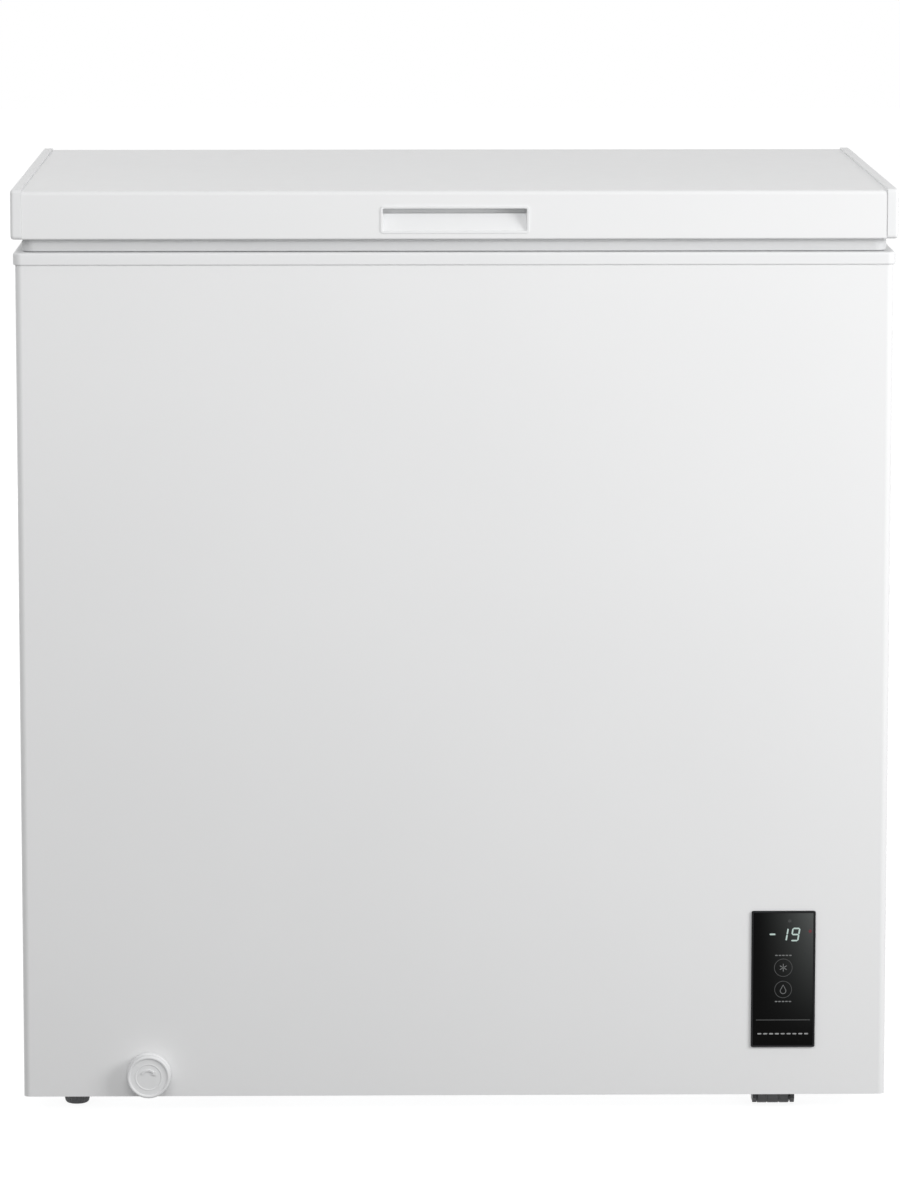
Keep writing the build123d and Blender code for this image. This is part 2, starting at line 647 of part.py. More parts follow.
# spring hinges: channels on the back panel, open to it, with a seat below the spring and two ears
with BuildPart() as hinge_channels:
    for hinge_x in HINGE_XS:
        with BuildSketch(Plane.XY.offset(CHANNEL_LOW)):
            with Locations((hinge_x, BACK)):
                Rectangle(2 * CHANNEL_HALF, HINGE_BACK - BACK, align=(Align.CENTER, Align.MIN))
                Rectangle(2 * CHANNEL_HALF + 28, CHANNEL_T, align=(Align.CENTER, Align.MIN))
                Rectangle(
                    2 * (CHANNEL_HALF - CHANNEL_T),
                    HINGE_BACK - BACK - CHANNEL_T,
                    align=(Align.CENTER, Align.MIN),
                    mode=Mode.SUBTRACT,
                )
        extrude(amount=CHANNEL_HIGH - CHANNEL_LOW)
        with BuildSketch(Plane.XY.offset(CHANNEL_LOW)):
            with Locations((hinge_x, BACK + 2)):
                Rectangle(
                    2 * CHANNEL_HALF - CHANNEL_T, HINGE_BACK - BACK - 2.5, align=(Align.CENTER, Align.MIN)
                )
        extrude(amount=SEAT_T)
        for ear in (hinge_x - CHANNEL_HALF, hinge_x + CHANNEL_HALF - CHANNEL_T):
            with BuildSketch(Plane.YZ.offset(ear)):
                with BuildLine():
                    Polyline(
                        (BACK + 4, CHANNEL_HIGH - 10),
                        (HINGE_BACK, CHANNEL_HIGH - 10),
                        (HINGE_BACK, CHANNEL_HIGH),
                        (PIVOT_Y + 9, PIVOT_Z + 3),
                        (PIVOT_Y + 4, PIVOT_Z + 9),
                        (PIVOT_Y - 4, PIVOT_Z + 9),
                        (PIVOT_Y - 9, PIVOT_Z + 3),
                        (BACK + 4, CHANNEL_HIGH),
                        close=True,
                    )
                make_face()
                with Locations((PIVOT_Y, PIVOT_Z)):
                    Circle(PIN_R + 0.05, mode=Mode.SUBTRACT)
            extrude(amount=CHANNEL_T)
hinge_channels.part.label = "hinge_channels"
export_step(hinge_channels.part, "parts/hinge_channels.step")

# leaves: a plate on the lid's back edge and a cast arm round the pin, whose underside is the cam
with BuildPart() as hinge_leaves:
    for hinge_x in HINGE_XS:
        with BuildSketch(Plane.XZ.offset(-LID_BACK)):
            with Locations((hinge_x, (LID_BOTTOM + LID_TOP) / 2)):
                Rectangle(LEAF_W, LEAF_H)
        extrude(amount=-LEAF_T)
        with BuildSketch(Plane.YZ.offset(hinge_x)):
            with BuildLine():
                Spline(
                    [cam_point(LID_OPEN * i / 4) for i in range(5)],
                    tangents=[(1, 0), (math.cos(LID_OPEN), math.sin(LID_OPEN))],
                )
                Polyline(
                    cam_point(LID_OPEN),
                    (PIVOT_Y + 6.5, PIVOT_Z - 1),
                    (PIVOT_Y + 5, PIVOT_Z + 5),
                    (LID_BACK + LEAF_T, LID_BOTTOM + 36),
                    (LID_BACK + LEAF_T, LID_BOTTOM + 8),
                    cam_point(0),
                )
            make_face()
            with Locations((PIVOT_Y, PIVOT_Z)):
                Circle(PIN_R + 0.05, mode=Mode.SUBTRACT)
        extrude(amount=ARM_HALF, both=True)
hinge_leaves.part.label = "hinge_leaves"
export_step(hinge_leaves.part, "parts/hinge_leaves.step")

# sliders that ride up and down in the channels, each with a square stem inside its spring
with BuildPart() as hinge_sliders:
    for hinge_x in HINGE_XS:
        with BuildSketch(Plane.XY.offset(SLIDER_TOP)):
            with Locations((hinge_x, (BACK + HINGE_BACK) / 2 - 0.3)):
                Rectangle(SLIDER_W, SLIDER_W)
        extrude(amount=-SLIDER_H)
        with BuildSketch(Plane.XY.offset(SLIDER_TOP - SLIDER_H)):
            with Locations((hinge_x, SPRING_Y)):
                Rectangle(STEM_W, STEM_W)
        extrude(amount=-STEM_H)
hinge_sliders.part.label = "hinge_sliders"
export_step(hinge_sliders.part, "parts/hinge_sliders.step")

with BuildPart() as hinge_pins:
    with BuildSketch(Plane.YZ):
        with Locations((PIVOT_Y, PIVOT_Z)):
            Circle(PIN_R)
    extrude(amount=HINGE_XS[1] + CHANNEL_HALF + 2, both=True)
    with BuildSketch(Plane.YZ):
        with Locations((PIVOT_Y, PIVOT_Z)):
            Circle(2 * PIN_R)
    extrude(amount=HINGE_XS[1] - CHANNEL_HALF - 2, both=True, mode=Mode.SUBTRACT)
hinge_pins.part.label = "hinge_pins"
export_step(hinge_pins.part, "parts/hinge_pins.step")

# springs hidden in the channels, as plain sleeves of the coils' outer and inner size
with BuildPart() as hinge_springs:
    with BuildSketch(Plane.XY.offset(CHANNEL_LOW + SEAT_T)):
        with Locations(*[(hinge_x, SPRING_Y) for hinge_x in HINGE_XS]):
            RegularPolygon(SPRING_R, 16)
            RegularPolygon(SPRING_R - SPRING_WIRE, 16, mode=Mode.SUBTRACT)
    extrude(amount=SLIDER_TOP - SLIDER_H - CHANNEL_LOW - SEAT_T)
hinge_springs.part.label = "hinge_springs"
export_step(hinge_springs.part, "parts/hinge_springs.step")

# evaporator: a flattened tube wound round the tub, level by level, its ends brought down to the bay
with BuildPart() as evaporator_coil:
    coil_w = TUB_W + 2 * LINER_T + 0.2
    coil_d = TUB_D + 2 * LINER_T + 0.2
    for level in range(EVAP_LEVELS):
        level_z = EVAP_LOW + EVAP_PITCH * level
        with BuildSketch(Plane.XY.offset(level_z)) as turn:
            with Locations((0, TUB_Y)):
                Rectangle(coil_w + 2 * TUBE_T, coil_d + 2 * TUBE_T)
            chamfer(turn.vertices(), COIL_CUT + CUT_GROWTH * TUBE_T)
            with BuildSketch(mode=Mode.SUBTRACT) as inside:
                with Locations((0, TUB_Y)):
                    Rectangle(coil_w, coil_d)
                chamfer(inside.vertices(), COIL_CUT)
            with Locations((EVAP_X, EVAP_Y)):
                Rectangle(4 * TUBE_T, EVAP_GAP, mode=Mode.SUBTRACT)
        extrude(amount=TUBE_H)
        if level < EVAP_LEVELS - 1:
            end = -1 if level % 2 == 0 else 1
            with BuildSketch(Plane.XY.offset(level_z)):
                with Locations((EVAP_X, EVAP_Y + end * (EVAP_GAP + TUBE_H) / 2)):
                    Rectangle(TUBE_T, TUBE_H)
            extrude(amount=EVAP_PITCH + TUBE_H)
    with BuildSketch(Plane.XY.offset(EVAP_TOP)):
        with Locations((EVAP_X, EVAP_Y - TUBE_H / 2)):
            Rectangle(TUBE_T, EVAP_GAP / 2 + TUBE_H, align=(Align.CENTER, Align.MIN))
    extrude(amount=TUBE_H)
    with BuildSketch(Plane.XY.offset(EVAP_LOW)):
        with Locations((EVAP_X, EVAP_Y)):
            Rectangle(TUBE_T, TUBE_H)
    extrude(amount=EVAP_TOP - EVAP_LOW)
evaporator_coil.part.label = "evaporator_coil"
export_step(evaporator_coil.part, "parts/evaporator_coil.step")

# condenser: a flattened tube that runs round behind the side and front panels and back again
with BuildPart() as condenser_coil:
    for level_z in (COND_LOW, COND_HIGH):
        with BuildSketch(Plane.XY.offset(level_z)) as run:
            with Locations((0, IN_FRONT + (BELT - TUBE_T) / 2)):
                Rectangle(2 * COND_X + TUBE_T, COND_END - IN_FRONT, align=(Align.CENTER, Align.MIN))
            chamfer(run.vertices().group_by(Axis.Y)[0], COND_R + CUT_GROWTH * TUBE_T)
            with BuildSketch(mode=Mode.SUBTRACT) as inside:
                with Locations((0, IN_FRONT + (BELT + TUBE_T) / 2)):
                    Rectangle(2 * COND_X - TUBE_T, COND_END - IN_FRONT, align=(Align.CENTER, Align.MIN))
                chamfer(inside.vertices().group_by(Axis.Y)[0], COND_R)
        extrude(amount=TUBE_H)
    with BuildSketch(Plane.XY.offset(COND_LOW)):
        with Locations((-COND_X, COND_END - TUBE_H / 2), (COND_X, RETURN_Y)):
            Rectangle(TUBE_T, TUBE_H)
    extrude(amount=COND_HIGH + TUBE_H - COND_LOW)
    with BuildSketch(Plane.XY.offset(COND_HIGH)):
        with Locations((COND_X, COND_END - TUBE_H)):
            Rectangle(TUBE_T, RETURN_Y - COND_END + TUBE_H, align=(Align.CENTER, Align.MIN))
    extrude(amount=TUBE_H)
condenser_coil.part.label = "condenser_coil"
export_step(condenser_coil.part, "parts/condenser_coil.step")

# temperature probe clipped to the tub between two coil levels
with BuildPart() as temperature_sensor:
    with BuildSketch(Plane.YZ):
        with Locations((TUB_Y - TUB_D / 2 - LINER_T - BELT / 2, EVAP_LOW + 1.5 * EVAP_PITCH)):
            Circle(2.5)
    extrude(amount=14, both=True)
temperature_sensor.part.label = "temperature_sensor"
export_step(temperature_sensor.part, "parts/temperature_sensor.step")

# tray that closes the bay below and carries the compressor
with BuildPart() as compressor_tray:
    with BuildSketch(Plane.XY.offset(BASE + SHEET)) as tray_plan:
        with Locations((BAY_X + SHEET, IN_FRONT)):
            Rectangle(IN_X - BAY_X - SHEET, IN_BACK - IN_FRONT, align=(Align.MIN, Align.MIN))
        fillet(tray_plan.vertices().group_by(Axis.Y)[0].sort_by(Axis.X)[-1], CORNER)
    extrude(amount=TRAY_T)
    with BuildSketch(Plane.XY.offset(BASE + SHEET)):
        with Locations((BAY_X + SHEET + TRAY_T / 2, TUB_Y), (IN_X - TRAY_T / 2, TUB_Y)):
            Rectangle(TRAY_T, BACK - FRONT - 30)
    extrude(amount=16)
compressor_tray.part.label = "compressor_tray"
export_step(compressor_tray.part, "parts/compressor_tray.step")

# compressor: a drawn shell with a weld seam on a foot plate, a suction stub above, a discharge stub beside
with BuildPart() as compressor:
    with BuildSketch(Plane.XY.offset(PLATE_LOW + 2)):
        with Locations((COMP_X, COMP_Y)):
            RegularPolygon(COMP_R, SHELL_SIDES)
    extrude(amount=COMP_H)
    chamfer(compressor.faces().sort_by(Axis.Z)[-1].edges(), 24)
    chamfer(compressor.faces().sort_by(Axis.Z)[0].edges(), 14)
    with BuildSketch(Plane.XY.offset(PLATE_LOW + COMP_H / 2)):
        with Locations((COMP_X, COMP_Y)):
            RegularPolygon(COMP_R + 4, SHELL_SIDES)
    extrude(amount=5)
    with BuildSketch(Plane.XY.offset(PLATE_LOW)):
        with Locations((COMP_X, COMP_Y)):
            Rectangle(2 * FOOT_DX + 30, 2 * FOOT_DY + 30)
    extrude(amount=PLATE_T)
    with BuildSketch(Plane.XY.offset(SUCTION_Z)):
        with Locations((EVAP_X, EVAP_Y)):
            RegularPolygon(PIPE_R + 1.5, 12)
    extrude(amount=-80)
    with BuildSketch(Plane.YZ.offset(STUB_X)):
        with Locations((DISCHARGE_Y, DISCHARGE_Z)):
            RegularPolygon(PIPE_R + 1.5, 12)
    extrude(amount=-40)
compressor.part.label = "compressor"
export_step(compressor.part, "parts/compressor.step")

with BuildPart() as compressor_grommets:
    with BuildSketch(Plane.XY.offset(TRAY_TOP)):
        with Locations((COMP_X, COMP_Y)):
            with GridLocations(2 * FOOT_DX, 2 * FOOT_DY, 2, 2):
                RegularPolygon(GROMMET_R, 12)
    extrude(amount=PLATE_LOW - TRAY_TOP)
compressor_grommets.part.label = "compressor_grommets"
export_step(compressor_grommets.part, "parts/compressor_grommets.step")

# cover over the compressor's terminals, hollowed to the shell's curve
with BuildPart() as terminal_cover:
    with BuildSketch(Plane.XY.offset(TERMINAL_LOW)):
        with Locations((COMP_X, COMP_Y - COMP_R)):
            Rectangle(TERMINAL_W, TERMINAL_DEEP, align=(Align.CENTER, Align.MAX))
            Rectangle(TERMINAL_W, 12, align=(Align.CENTER, Align.MIN))
    extrude(amount=TERMINAL_H)
    chamfer(terminal_cover.edges().filter_by(Axis.Z).group_by(Axis.Y)[0], 5)
    with BuildSketch(Plane.XY.offset(TERMINAL_LOW)):
        with Locations((COMP_X, COMP_Y)):
            Circle(COMP_R + 0.3)
    extrude(amount=TERMINAL_H, mode=Mode.SUBTRACT)
terminal_cover.part.label = "terminal_cover"
export_step(terminal_cover.part, "parts/terminal_cover.step")

# suction pipe, from the coil round the tub straight down to the compressor
with BuildPart() as suction_pipe:
    with BuildSketch(Plane.XY.offset(SUCTION_Z)):
        with Locations((EVAP_X, EVAP_Y)):
            Circle(PIPE_R)
    extrude(amount=EVAP_LOW - SUCTION_Z)
suction_pipe.part.label = "suction_pipe"
export_step(suction_pipe.part, "parts/suction_pipe.step")

# discharge pipe and liquid line, bent up behind the side panel to the two ends of the condenser
for name, pipe_y, pipe_z in (
    ("discharge_pipe", DISCHARGE_Y, DISCHARGE_Z),
    ("liquid_line", RETURN_Y, LIQUID_Z),
):
    with BuildPart() as bent_pipe:
        with BuildLine() as route:
            FilletPolyline(
                (STUB_X, pipe_y, pipe_z), (COND_X, pipe_y, pipe_z), (COND_X, pipe_y, COND_LOW), radius=14
            )
        with BuildSketch(Plane(origin=route.line @ 0, z_dir=route.line % 0)):
            RegularPolygon(PIPE_R, 8)
        sweep()
    bent_pipe.part.label = name
    export_step(bent_pipe.part, f"parts/{name}.step")

# filter drier standing beside the compressor, fed from the side
with BuildPart() as filter_drier:
    with BuildSketch(Plane.XY.offset(DRIER_LOW)):
        with Locations((EVAP_X, RETURN_Y)):
            RegularPolygon(DRIER_R, 20)
    extrude(amount=DRIER_HIGH - DRIER_LOW)
    with BuildSketch(Plane.YZ.offset(EVAP_X)):
        with Locations((RETURN_Y, LIQUID_Z)):
            RegularPolygon(PIPE_R + 1, 12)
    extrude(amount=STUB_X - EVAP_X)
filter_drier.part.label = "filter_drier"
export_step(filter_drier.part, "parts/filter_drier.step")

# capillary tube, from the drier up to the coil round the tub
with BuildPart() as capillary_tube:
    with BuildSketch(Plane.XY.offset(DRIER_HIGH)):
        with Locations((EVAP_X, RETURN_Y)):
            Circle(1.5)
    extrude(amount=EVAP_LOW - DRIER_HIGH)
capillary_tube.part.label = "capillary_tube"
export_step(capillary_tube.part, "parts/capillary_tube.step")

# control housing: flange on the front panel, box behind it, posts for the board
with BuildPart() as control_bezel:
    with BuildSketch(Plane.XZ.offset(-FRONT)) as flange:
        with Locations((CTRL_X, CTRL_Z)):
            Rectangle(CTRL_W, CTRL_H)
        chamfer(flange.vertices(), 1)
    extrude(amount=CTRL_PROUD)
    with BuildSketch(Plane.XZ.offset(-FRONT)):
        with Locations((CTRL_X, CTRL_Z)):
            Rectangle(BOX_W, BOX_H)
    extrude(amount=FRONT - CTRL_BACK)
    with BuildSketch(Plane.XZ.offset(-FRONT + CTRL_PROUD)):
        with Locations((CTRL_X, CTRL_Z)):
            Rectangle(BOX_W - 2 * BOX_T, BOX_H - 2 * BOX_T)
    extrude(amount=FRONT - CTRL_PROUD - CTRL_BACK + BOX_T, mode=Mode.SUBTRACT)
    with BuildSketch(Plane.XZ.offset(-FRONT + CTRL_PROUD)):
        with Locations((CTRL_X, CTRL_Z)):
            Rectangle(CTRL_W - 3.6, CTRL_H - 3.6)
    extrude(amount=-1, mode=Mode.SUBTRACT)
    with BuildSketch(Plane.XZ.offset(-CTRL_BACK)):
        with Locations((CTRL_X, CTRL_Z)):
            with GridLocations(BOX_W - 12, BOX_H - 12, 2, 2):
                Rectangle(6, 6)
    extrude(amount=POST_H)
control_bezel.part.label = "control_bezel"
export_step(control_bezel.part, "parts/control_bezel.step")

# gloss front lens, let into the flange
with BuildPart() as control_lens:
    with BuildSketch(Plane.XZ.offset(-FRONT + CTRL_PROUD - 1)):
        with Locations((CTRL_X, CTRL_Z)):
            Rectangle(CTRL_W - 4, CTRL_H - 4)
    extrude(amount=0.9)
control_lens.part.label = "control_lens"
export_step(control_lens.part, "parts/control_lens.step")

# board on the posts, with the readout and the two touch springs between it and the lens
with BuildPart() as control_board:
    with BuildSketch(Plane.XZ.offset(-BOARD_Y)):
        with Locations((CTRL_X, CTRL_Z)):
            Rectangle(BOX_W - 2 * BOX_T - 2, BOX_H - 2 * BOX_T - 2)
    extrude(amount=BOARD_T)
control_board.part.label = "control_board"
export_step(control_board.part, "parts/control_board.step")

with BuildPart() as display_module:
    with BuildSketch(Plane.XZ.offset(-BOARD_Y + BOARD_T)):
        with Locations((CTRL_X, READOUT_Z)):
            Rectangle(READOUT_W, READOUT_H)
    extrude(amount=LENS_GAP)
display_module.part.label = "display_module"
export_step(display_module.part, "parts/display_module.step")

with BuildPart() as touch_pads:
    with BuildSketch(Plane.XZ.offset(-BOARD_Y + BOARD_T)):
        with Locations(*[(CTRL_X, key_z) for key_z in KEYS_Z]):
            RegularPolygon(KEY_R, 12)
    extrude(amount=LENS_GAP)
touch_pads.part.label = "touch_pads"
export_step(touch_pads.part, "parts/touch_pads.step")

# lead from the terminal cover forward to the control housing
with BuildPart() as wiring_harness:
    with BuildSketch(Plane.XZ.offset(-CTRL_BACK)):
        with Locations((HARNESS_X, HARNESS_Z)):
            Circle(3.5)
    extrude(amount=-(COMP_Y - COMP_R - TERMINAL_DEEP - CTRL_BACK))
wiring_harness.part.label = "wiring_harness"
export_step(wiring_harness.part, "parts/wiring_harness.step")

# rear cover of the bay: sheet with rows of vent slots and a cut-out for the power inlet
with BuildPart() as rear_cover:
    with BuildSketch(Plane.XZ.offset(-BACK)):
        with Locations(((COVER_X - COVER_LAP + IN_X) / 2, (BASE + COVER_Z + COVER_LAP) / 2)):
            Rectangle(IN_X - COVER_X + COVER_LAP, COVER_Z + COVER_LAP - BASE)
        with Locations(((COVER_X + IN_X) / 2, SLOTS_MID)):
            with GridLocations(SLOT_PITCH_X, SLOT_PITCH_Z, SLOTS_X, SLOTS_Z):
                Rectangle(SLOT_W, SLOT_H, mode=Mode.SUBTRACT)
        with Locations((INLET_X, INLET_Z)):
            Rectangle(INLET_W + 0.4, INLET_H + 0.4, mode=Mode.SUBTRACT)
    extrude(amount=-COVER_T)
rear_cover.part.label = "rear_cover"
export_step(rear_cover.part, "parts/rear_cover.step")

# power inlet: a three-pin appliance socket let into the rear cover
with BuildPart() as power_inlet:
    with BuildSketch(Plane.XZ.offset(-BACK - COVER_T)) as socket_face:
        with Locations((INLET_X, INLET_Z)):
            Rectangle(INLET_W + 2 * INLET_RIM, INLET_H + 2 * INLET_RIM)
        chamfer(socket_face.vertices(), INLET_RIM)
    extrude(amount=-2)
    with BuildSketch(Plane.XZ.offset(-BACK - COVER_T)):
        with Locations((INLET_X, INLET_Z)):
            Rectangle(INLET_W, INLET_H)
    extrude(amount=INLET_DEEP)
    with BuildSketch(Plane.XZ.offset(-BACK - COVER_T - 2)):
        with Locations((INLET_X, INLET_Z)):
            Rectangle(INLET_W - 2 * INLET_WALL, INLET_H - 2 * INLET_WALL)
    extrude(amount=INLET_DEEP - 3, mode=Mode.SUBTRACT)
    with BuildSketch(Plane.XZ.offset(-BACK - COVER_T + INLET_DEEP - 5)):
        for blade_x, blade_z in ((-BLADE_GAP, -2), (0, 2), (BLADE_GAP, -2)):
            with Locations((INLET_X + blade_x, INLET_Z + blade_z)):
                Rectangle(BLADE_W, BLADE_H)
    extrude(amount=-14)
power_inlet.part.label = "power_inlet"
export_step(power_inlet.part, "parts/power_inlet.step")

# louvred grille in the right side panel
with BuildPart() as side_grille:
    with BuildSketch(Plane.YZ.offset(HALF_W)) as frame_face:
        with Locations((GRILLE_Y, GRILLE_Z)):
            Rectangle(GRILLE_W + 2 * GRILLE_RIM, GRILLE_H + 2 * GRILLE_RIM)
        chamfer(frame_face.vertices(), 4)
        with Locations((GRILLE_Y, GRILLE_Z)):
            Rectangle(GRILLE_W - 2 * GRILLE_T, GRILLE_H - 2 * GRILLE_T, mode=Mode.SUBTRACT)
    extrude(amount=1.6)
    with BuildSketch(Plane.YZ.offset(HALF_W)):
        with Locations((GRILLE_Y, GRILLE_Z)):
            Rectangle(GRILLE_W, GRILLE_H)
            Rectangle(GRILLE_W - 2 * GRILLE_T, GRILLE_H - 2 * GRILLE_T, mode=Mode.SUBTRACT)
    extrude(amount=-GRILLE_DEEP)
    with BuildSketch(Plane.XZ.offset(-GRILLE_Y)):
        with Locations((HALF_W - 3.6, GRILLE_Z)):
            with GridLocations(0, LOUVRE_PITCH, 1, LOUVRES):
                Polygon((-4.2, 0), (-4.2, 2.4), (4.2, -3.2), (4.2, -5.6), align=None)
    extrude(amount=GRILLE_W / 2 - 1, both=True)
side_grille.part.label = "side_grille"
export_step(side_grille.part, "parts/side_grille.step")

# drain elbow: a flange on the tub floor, a drop through the insulation and a bore out to the front panel
with BuildPart() as drain_elbow:
    with BuildSketch(Plane.XZ.offset(-IN_FRONT)):
        with Locations((DRAIN_X, DRAIN_Z)):
            Rectangle(2 * ELBOW_R, 2 * ELBOW_R)
    extrude(amount=-(DRAIN_Y + ELBOW_R - IN_FRONT))
    with BuildSketch(Plane.XY.offset(DRAIN_Z)):
        with Locations((DRAIN_X, DRAIN_Y)):
            Rectangle(2 * DROP_R, 2 * DROP_R)
    extrude(amount=FLOOR - DRAIN_Z)
    with BuildSketch(Plane.XY.offset(FLOOR)):
        with Locations((DRAIN_X, DRAIN_Y)):
            RegularPolygon(FLANGE_R, 24)
    extrude(amount=FLANGE_T)
    with BuildSketch(Plane.XZ.offset(-IN_FRONT)):
        with Locations((DRAIN_X, DRAIN_Z)):
            Circle(PIPE_BORE)
    extrude(amount=-(DRAIN_Y + PIPE_BORE - IN_FRONT), mode=Mode.SUBTRACT)
    with BuildSketch(Plane.XY.offset(DRAIN_Z)):
        with Locations((DRAIN_X, DRAIN_Y)):
            Circle(PLUG_R + 0.07)
    extrude(amount=FLOOR + FLANGE_T - DRAIN_Z, mode=Mode.SUBTRACT)
drain_elbow.part.label = "drain_elbow"
export_step(drain_elbow.part, "parts/drain_elbow.step")

# spout that pulls out of the elbow, with an outlet in its wall and a rubber seal on its inner end
with BuildPart() as drain_spout:
    with BuildSketch(Plane.XZ.offset(-DIAL_BACK)):
        with Locations((DRAIN_X, DRAIN_Z)):
            Circle(SPOUT_R)
            RegularPolygon(SPOUT_BORE, 24, mode=Mode.SUBTRACT)
    extrude(amount=DIAL_BACK - SPOUT_END)
    with BuildSketch(Plane.XY.offset(DRAIN_Z)):
        with Locations((DRAIN_X, DIAL_BACK + 14)):
            Rectangle(OUTLET_W, OUTLET_LONG)
    extrude(amount=SPOUT_R + 1, mode=Mode.SUBTRACT)
drain_spout.part.label = "drain_spout"
export_step(drain_spout.part, "parts/drain_spout.step")

with BuildPart() as drain_seal:
    with BuildSketch(Plane.XZ.offset(-SPOUT_END)):
        with Locations((DRAIN_X, DRAIN_Z)):
            RegularPolygon(PIPE_BORE - 0.05, 24)
            RegularPolygon(SPOUT_BORE, 24, mode=Mode.SUBTRACT)
    extrude(amount=-SEAL_T)
drain_seal.part.label = "drain_seal"
export_step(drain_seal.part, "parts/drain_seal.step")

# dial on the spout's end, a cap with a softened front edge
with BuildPart() as drain_dial:
    with BuildSketch(Plane.XZ.offset(-DIAL_BACK)):
        with Locations((DRAIN_X, DRAIN_Z)):
            Circle(DIAL_R)
    extrude(amount=DIAL_BACK - DIAL_FRONT)
    chamfer(drain_dial.faces().sort_by(Axis.Y)[0].edges(), 1.6)
drain_dial.part.label = "drain_dial"
export_step(drain_dial.part, "parts/drain_dial.step")

# stopper that closes the drain from inside the tub, with a tab to pull it by
with BuildPart() as drain_stopper:
    with BuildSketch(Plane.XY.offset(FLOOR + FLANGE_T)):
        with Locations((DRAIN_X, DRAIN_Y)):
            Circle(PLUG_R)
    extrude(amount=-PLUG_H)
    with BuildSketch(Plane.XY.offset(FLOOR + FLANGE_T)):
        with Locations((DRAIN_X, DRAIN_Y)):
            RegularPolygon(STOPPER_R, 24)
    extrude(amount=STOPPER_T)
    with BuildSketch(Plane.XY.offset(FLOOR + FLANGE_T + STOPPER_T)):
        with Locations((DRAIN_X, DRAIN_Y)):
            Rectangle(TAB_W, TAB_T)
    extrude(amount=TAB_H)
drain_stopper.part.label = "drain_stopper"
export_step(drain_stopper.part, "parts/drain_stopper.step")

# levelling feet: a disc on a stud that turns in a socket
for name, foot_y in zip(("foot_front", "foot_rear"), FOOT_YS):
    with BuildPart() as foot:
        with BuildSketch():
            with Locations((FOOT_X, foot_y)):
                RegularPolygon(FOOT_R, 36)
        extrude(amount=FOOT_H)
        with BuildSketch(Plane.XY.offset(FOOT_H)):
            with Locations((FOOT_X, foot_y)):
                Circle(STUD_R)
        extrude(amount=STUD_LONG)
    foot.part.label = name
    export_step(foot.part, f"parts/{name}.step")

with BuildPart() as foot_sockets:
    with BuildSketch(Plane.XY.offset(FOAM_LOW)):
        with Locations(*[(FOOT_X, y) for y in FOOT_YS]):
            RegularPolygon(SOCKET_R, 6)
    extrude(amount=SOCKET_H)
    with BuildSketch(Plane.XY.offset(FOAM_LOW)):
        with Locations(*[(FOOT_X, y) for y in FOOT_YS]):
            Circle(STUD_R + 0.05)
    extrude(amount=SOCKET_H - 3, mode=Mode.SUBTRACT)
foot_sockets.part.label = "foot_sockets"
export_step(foot_sockets.part, "parts/foot_sockets.step")

# rollers under the bay, each on a pin between the two cheeks of its bracket
for name, roller_y in zip(("roller_front", "roller_rear"), ROLLER_YS):
    with BuildPart() as roller:
        with BuildSketch(Plane.YZ.offset(ROLLER_X)):
            with Locations((roller_y, ROLLER_R)):
                Circle(ROLLER_R)
                Circle(AXLE_R + 0.07, mode=Mode.SUBTRACT)
        extrude(amount=ROLLER_HALF, both=True)
    roller.part.label = name
    export_step(roller.part, f"parts/{name}.step")

with BuildPart() as roller_brackets:
    for roller_y in ROLLER_YS:
        with BuildSketch(Plane.XY.offset(BASE + SHEET)):
            with Locations((ROLLER_X, roller_y)):
                Rectangle(2 * CHEEK_OUT, CHEEK_D)
        extrude(amount=-BRACKET_T)
        for cheek_x in (ROLLER_X - CHEEK_OUT, ROLLER_X + CHEEK_IN):
            with BuildSketch(Plane.YZ.offset(cheek_x)) as cheek:
                with Locations((roller_y, CHEEK_LOW)):
                    Rectangle(CHEEK_D, BASE + SHEET - CHEEK_LOW, align=(Align.CENTER, Align.MIN))
                chamfer(cheek.vertices().group_by(Axis.Y)[0], 5)
            extrude(amount=CHEEK_OUT - CHEEK_IN)
        with BuildSketch(Plane.YZ.offset(ROLLER_X)):
            with Locations((roller_y, ROLLER_R)):
                Circle(AXLE_R)
        extrude(amount=CHEEK_IN + 1, both=True)
roller_brackets.part.label = "roller_brackets"
export_step(roller_brackets.part, "parts/roller_brackets.step")

# hanging basket: rim with four hooks over the top frame, and welded grids
with BuildPart() as basket_frame:
    with BuildSketch(Plane.XY.offset(BASKET_RIM)):
        with Locations((BASKET_X, BASKET_Y)):
            Rectangle(BASKET_W, BASKET_D)
            Rectangle(BASKET_W - 2 * RIM_WIRE, BASKET_D - 2 * RIM_WIRE, mode=Mode.SUBTRACT)
    extrude(amount=RIM_WIRE)
    for hook_x in (BASKET_X - BASKET_W / 3, BASKET_X + BASKET_W / 3):
        with BuildSketch(Plane.YZ.offset(hook_x)):
            with BuildLine():
                Polyline(
                    (BASKET_FRONT + RIM_WIRE / 2, BASKET_RIM),
                    (BASKET_FRONT + RIM_WIRE / 2, RIM_TOP + RIM_WIRE / 2),
                    (BASKET_FRONT - HOOK_REACH, RIM_TOP + RIM_WIRE / 2),
                )
            trace(line_width=RIM_WIRE)
            with BuildLine():
                Polyline(
                    (BASKET_BACK - RIM_WIRE / 2, BASKET_RIM),
                    (BASKET_BACK - RIM_WIRE / 2, RIM_TOP + RIM_WIRE / 2),
                    (BASKET_BACK + HOOK_REACH, RIM_TOP + RIM_WIRE / 2),
                )
            trace(line_width=RIM_WIRE)
        extrude(amount=RIM_WIRE / 2, both=True)
basket_frame.part.label = "basket_frame"
export_step(basket_frame.part, "parts/basket_frame.step")

